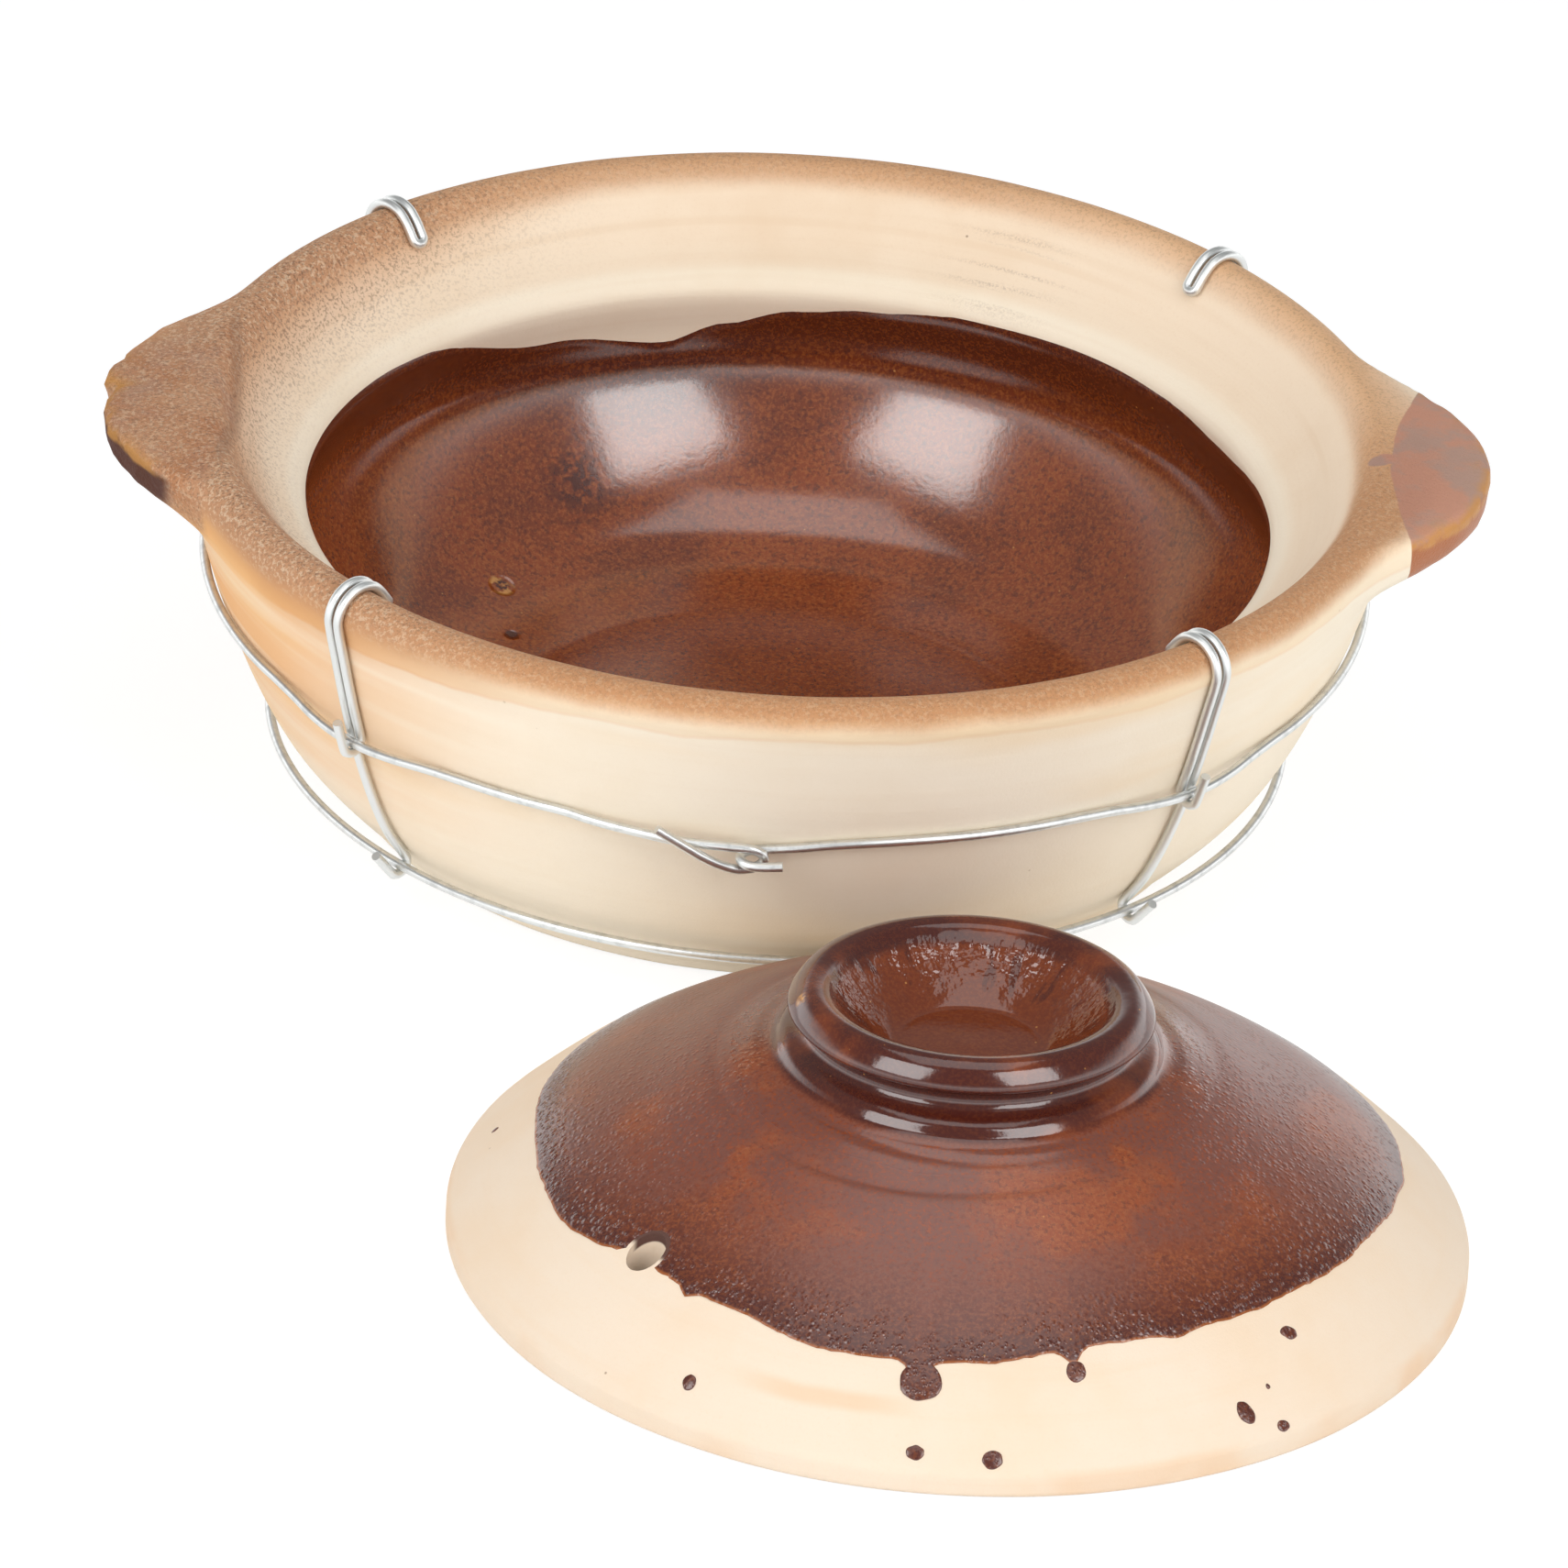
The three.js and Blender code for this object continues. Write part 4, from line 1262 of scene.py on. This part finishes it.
def hoop_route(wall, wire, height, splice, resting):
    """One wire round the pot: an eye at its first end, a hook through the eye at its last."""
    behind, step = clearances(wire)
    eye = behind + SPLICE_STEP * step
    front = eye + SPLICE_STEP * step
    seat, up, normal = wall.at(height, 0)
    radius = wall.at(height, resting)[0][0]

    def placed(rows):
        """Points from rows of (steps along the hoop, steps up the wall, a distance off it, steps past that)."""
        return [around(seat + up * rise * step + normal * (off + past * step), splice + ahead * step / radius)
                for ahead, rise, off, past in rows]

    first_end = placed([
        (-9, 2.6, front, 0.3), (-7, 1.0, front, 0.15), (-4.7, -0.75, front, 0), (-2.6, -2.1, front, -0.5),
        (-1.1, -2.35, eye, 0.15), (-0.2, -1.8, eye, 0), (0, -1.15, eye, 0), (-0.35, -0.5, eye, 0),
        (-1.3, -0.08, eye, 0), (-3.5, 0, eye, 0), (-7, 0, eye, 0),
        (-11, 0, (2 * eye + resting) / 3, 0), (-15, 0, (eye + 2 * resting) / 3, 0)])
    last_end = placed([
        (14, 0, (2 * resting + behind) / 3, 0), (10, -0.1, (resting + 2 * behind) / 3, 0), (6, -0.35, behind, 0),
        (2.6, -0.85, behind, 0), (0, -1.18, behind, 0), (-1.3, -1.2, behind, 0.2), (-2, -1.2, eye, -0.35),
        (-2, -1.2, eye, 0.35), (-1.3, -1.2, front, -0.15), (0, -1.13, front, 0), (1.6, -0.95, front, 0)])
    clear = SPLICE_STEPS * step / radius
    run = []
    for i in range(HOOP_STEPS + 1):
        bearing = splice - clear - (2 * math.pi - 2 * clear) * i / HOOP_STEPS
        off = hoop_offset(bearing, radius, resting, behind + step, wire.leg_spacing, wire.lift_span)
        run.append(around(seat + normal * off, bearing))
    return first_end + run + last_end


class CASSEROLE_OT_hoops(bpy.types.Operator):
    """Bends the two hoops round the pot and closes each with an eye and a hook"""
    bl_idname = "casserole.hoops"
    bl_label = "Wire hoops"

    def execute(self, context):
        wire = context.scene.casserole_wire
        wall = Wall(context.scene.casserole_pot)
        finish = galvanised(context.scene.casserole_finishes)
        on_wall, step = clearances(wire)
        upper = hoop_route(wall, wire, wire.upper_height, UPPER_SPLICE, on_wall)
        lower = hoop_route(wall, wire, wire.lower_height, LOWER_SPLICE, on_wall + step)
        wire_piece("upper_hoop", upper, wire.radius, finish, "upper_hoop")
        wire_piece("lower_hoop", lower, wire.radius, finish, "lower_hoop")
        return {"FINISHED"}


def turn_under_hoop(wall, wire, height):
    """Half a turn round a hoop, from behind it to a stub that points up outside."""
    on_wall, step = clearances(wire)
    middle, up, normal = wall.at(height, on_wall + step)
    turn = []
    for i in range(TURN_STEPS + 1):
        angle = math.pi - math.pi * i / TURN_STEPS
        turn.append(middle + normal * step * math.cos(angle) - up * step * math.sin(angle))
    turn.append(middle + normal * step + up * wire.stub)
    return turn


def tie_route(pot, wall, wire, bearing, side):
    """One wire folded in two over the lip: a short leg to the upper hoop, a long one to the lower."""
    on_wall, _ = clearances(wire)
    half = wire.leg_spacing / 2
    slope = flange_slope(pot)
    over_lip = arc(lip_centre(pot), pot.lip_round + on_wall, math.pi / 2 + slope, -pot.lip_undercut, 6)
    down_flange = np.array((-math.cos(slope), -math.sin(slope)))
    fold_centre = over_lip[0] + down_flange * (wire.fold_reach - half)
    wall_top = wall.curve[-1][1]

    def down(start, end, steps):
        return [wall.at(start + (end - start) * i / steps, on_wall)[0] for i in range(steps + 1)]

    to_upper = down(wall_top, wire.upper_height, 4)[1:]
    to_lower = down(wire.upper_height, wire.lower_height, 5)[1:-1]
    short_leg = over_lip + to_upper[:-1] + turn_under_hoop(wall, wire, wire.upper_height)
    long_leg = over_lip + to_upper + to_lower + turn_under_hoop(wall, wire, wire.lower_height)
    fold = []
    for i in range(TURN_STEPS + 1):
        angle = math.pi * i / TURN_STEPS
        spot = fold_centre + down_flange * half * math.sin(angle)
        fold.append(around(spot, bearing, half * side * math.cos(angle)))
    return ([around(p, bearing, half * side) for p in reversed(short_leg)] + fold
            + [around(p, bearing, -half * side) for p in long_leg])


class CASSEROLE_OT_ties(bpy.types.Operator):
    """Hooks the four folded ties over the lip and round both hoops"""
    bl_idname = "casserole.ties"
    bl_label = "Wire ties"

    def execute(self, context):
        pot = context.scene.casserole_pot
        wire = context.scene.casserole_wire
        wall = Wall(pot)
        finish = bpy.data.materials["galvanised_wire"]
        for node, bearing in TIE_BEARINGS.items():
            side = -1 if node == MIRRORED_TIE else 1
            wire_piece(node, tie_route(pot, wall, wire, bearing, side), wire.radius, finish, node)
        return {"FINISHED"}


# Stage

SURROUND_DIMS = 0.1, 0.45       # heights on a unit sphere between which the surround dims


def floor_material(stage):
    """Pale floor: white to the camera where it is lit, and it keeps the object's shadow."""
    material = bpy.data.materials.new("floor")
    material.use_nodes = True
    tree = Tree(material.node_tree)
    tree.nodes.clear()
    plain = tree.add("ShaderNodeBsdfDiffuse", {"Color": [stage.floor_grey] * 3}).outputs[0]
    dim = tree.add("ShaderNodeBsdfDiffuse", {"Color": [stage.floor_dim] * 3}).outputs[0]
    glow = tree.add("ShaderNodeEmission", {"Strength": stage.floor_glow}).outputs[0]
    bright = tree.add("ShaderNodeAddShader", {0: dim, 1: glow}).outputs[0]
    path = tree.add("ShaderNodeLightPath").outputs
    seen = path["Is Camera Ray"]
    for ray in ("Is Glossy Ray", "Is Transmission Ray"):
        seen = tree.math("MAXIMUM", seen, path[ray])
    choice = tree.add("ShaderNodeMixShader", {0: seen, 1: plain, 2: bright}).outputs[0]
    tree.add("ShaderNodeOutputMaterial", {"Surface": choice})
    return material


def softbox(name, stage, bearing, elevation, side, power):
    """A square softbox that looks at the middle of the object."""
    way = Vector((math.sin(bearing) * math.cos(elevation), -math.cos(bearing) * math.cos(elevation),
                  math.sin(elevation)))
    place = Vector(stage.aim) + way * stage.softbox_distance
    deselect_all()
    bpy.ops.object.light_add(type="AREA", location=place, rotation=(-way).to_track_quat("-Z", "Y").to_euler())
    lamp = bpy.context.object
    lamp.name = name
    lamp.data.shape = "SQUARE"
    lamp.data.size = side
    lamp.data.energy = power


def even_light(stage):
    """Surround that is white at eye level and dim overhead."""
    world = bpy.data.worlds.new("studio")
    bpy.context.scene.world = world
    world.use_nodes = True
    tree = Tree(world.node_tree)
    way = tree.add("ShaderNodeTexCoord").outputs["Generated"]
    height = tree.add("ShaderNodeSeparateXYZ", {0: way}).outputs[2]
    level = tree.step(height, *SURROUND_DIMS, {"To Min": stage.horizon, "To Max": stage.ceiling})
    surround = tree.nodes["Background"].inputs
    tree.feed(surround["Color"], (1, 1, 1))
    tree.feed(surround["Strength"], level)


class CASSEROLE_OT_stage(bpy.types.Operator):
    """Sets the pale floor, the two softboxes, the panel overhead, the even light and the camera"""
    bl_idname = "casserole.stage"
    bl_label = "Studio"

    def execute(self, context):
        stage = context.scene.casserole_stage
        deselect_all()
        bpy.ops.mesh.primitive_plane_add(size=stage.floor_side, location=(0, 0, -stage.floor_gap))
        floor = start_piece("floor")
        floor.data.materials.append(floor_material(stage))
        for name, side in (("left_softbox", -1), ("right_softbox", 1)):
            softbox(name, stage, side * stage.softbox_bearing, stage.softbox_height,
                    stage.softbox_side, stage.softbox_power)
        softbox("overhead_panel", stage, 0, stage.overhead_height, stage.overhead_side, stage.overhead_power)
        even_light(stage)
        turn, tilt, roll = stage.azimuth, stage.elevation, stage.roll
        forward = Vector((math.sin(turn) * math.cos(tilt), math.cos(turn) * math.cos(tilt), -math.sin(tilt)))
        level = Vector((math.cos(turn), -math.sin(turn), 0))
        upright = level.cross(forward)
        right = level * math.cos(roll) + upright * math.sin(roll)
        up = upright * math.cos(roll) - level * math.sin(roll)
        bpy.ops.object.camera_add(location=Vector(stage.aim) - forward * stage.distance)
        camera = context.object
        camera.rotation_euler = Matrix((right, up, -forward)).transposed().to_euler()
        camera.data.sensor_fit = "HORIZONTAL"
        camera.data.lens = camera.data.sensor_width * stage.focal_pixels / PHOTO_SIDE
        context.scene.camera = camera
        context.scene.view_settings.view_transform = "Standard"
        return {"FINISHED"}


class CASSEROLE_PT_sidebar(bpy.types.Panel):
    """Lists the steps that make the casserole"""
    bl_idname = "CASSEROLE_PT_sidebar"
    bl_label = "Clay casserole"
    bl_space_type = "VIEW_3D"
    bl_region_type = "UI"
    bl_category = "Casserole"

    def draw(self, context):
        for step in STEPS:
            self.layout.operator(step.bl_idname)


STEPS = (
    CASSEROLE_OT_stage,
    CASSEROLE_OT_pot,
    CASSEROLE_OT_bowl_glaze,
    CASSEROLE_OT_lid,
    CASSEROLE_OT_lid_glaze,
    CASSEROLE_OT_splashes,
    CASSEROLE_OT_hoops,
    CASSEROLE_OT_ties,
)
SETTINGS = {
    "casserole_pot": PotSizes,
    "casserole_lid": LidSizes,
    "casserole_wire": WireSizes,
    "casserole_finishes": Finishes,
    "casserole_stage": StageSettings,
}


def register():
    for name, group in SETTINGS.items():
        bpy.utils.register_class(group)
        setattr(bpy.types.Scene, name, bpy.props.PointerProperty(type=group))
    for item in (*STEPS, CASSEROLE_PT_sidebar):
        bpy.utils.register_class(item)


def unregister():
    for item in reversed((*STEPS, CASSEROLE_PT_sidebar)):
        bpy.utils.unregister_class(item)
    for name, group in reversed(SETTINGS.items()):
        delattr(bpy.types.Scene, name)
        bpy.utils.unregister_class(group)


def main():
    register()
    bpy.ops.casserole.stage()
    bpy.ops.casserole.pot()
    bpy.ops.casserole.bowl_glaze()
    bpy.ops.casserole.lid()
    bpy.ops.casserole.lid_glaze()
    bpy.ops.casserole.splashes()
    bpy.ops.casserole.hoops()
    bpy.ops.casserole.ties()


if __name__ == "__main__":
    main()
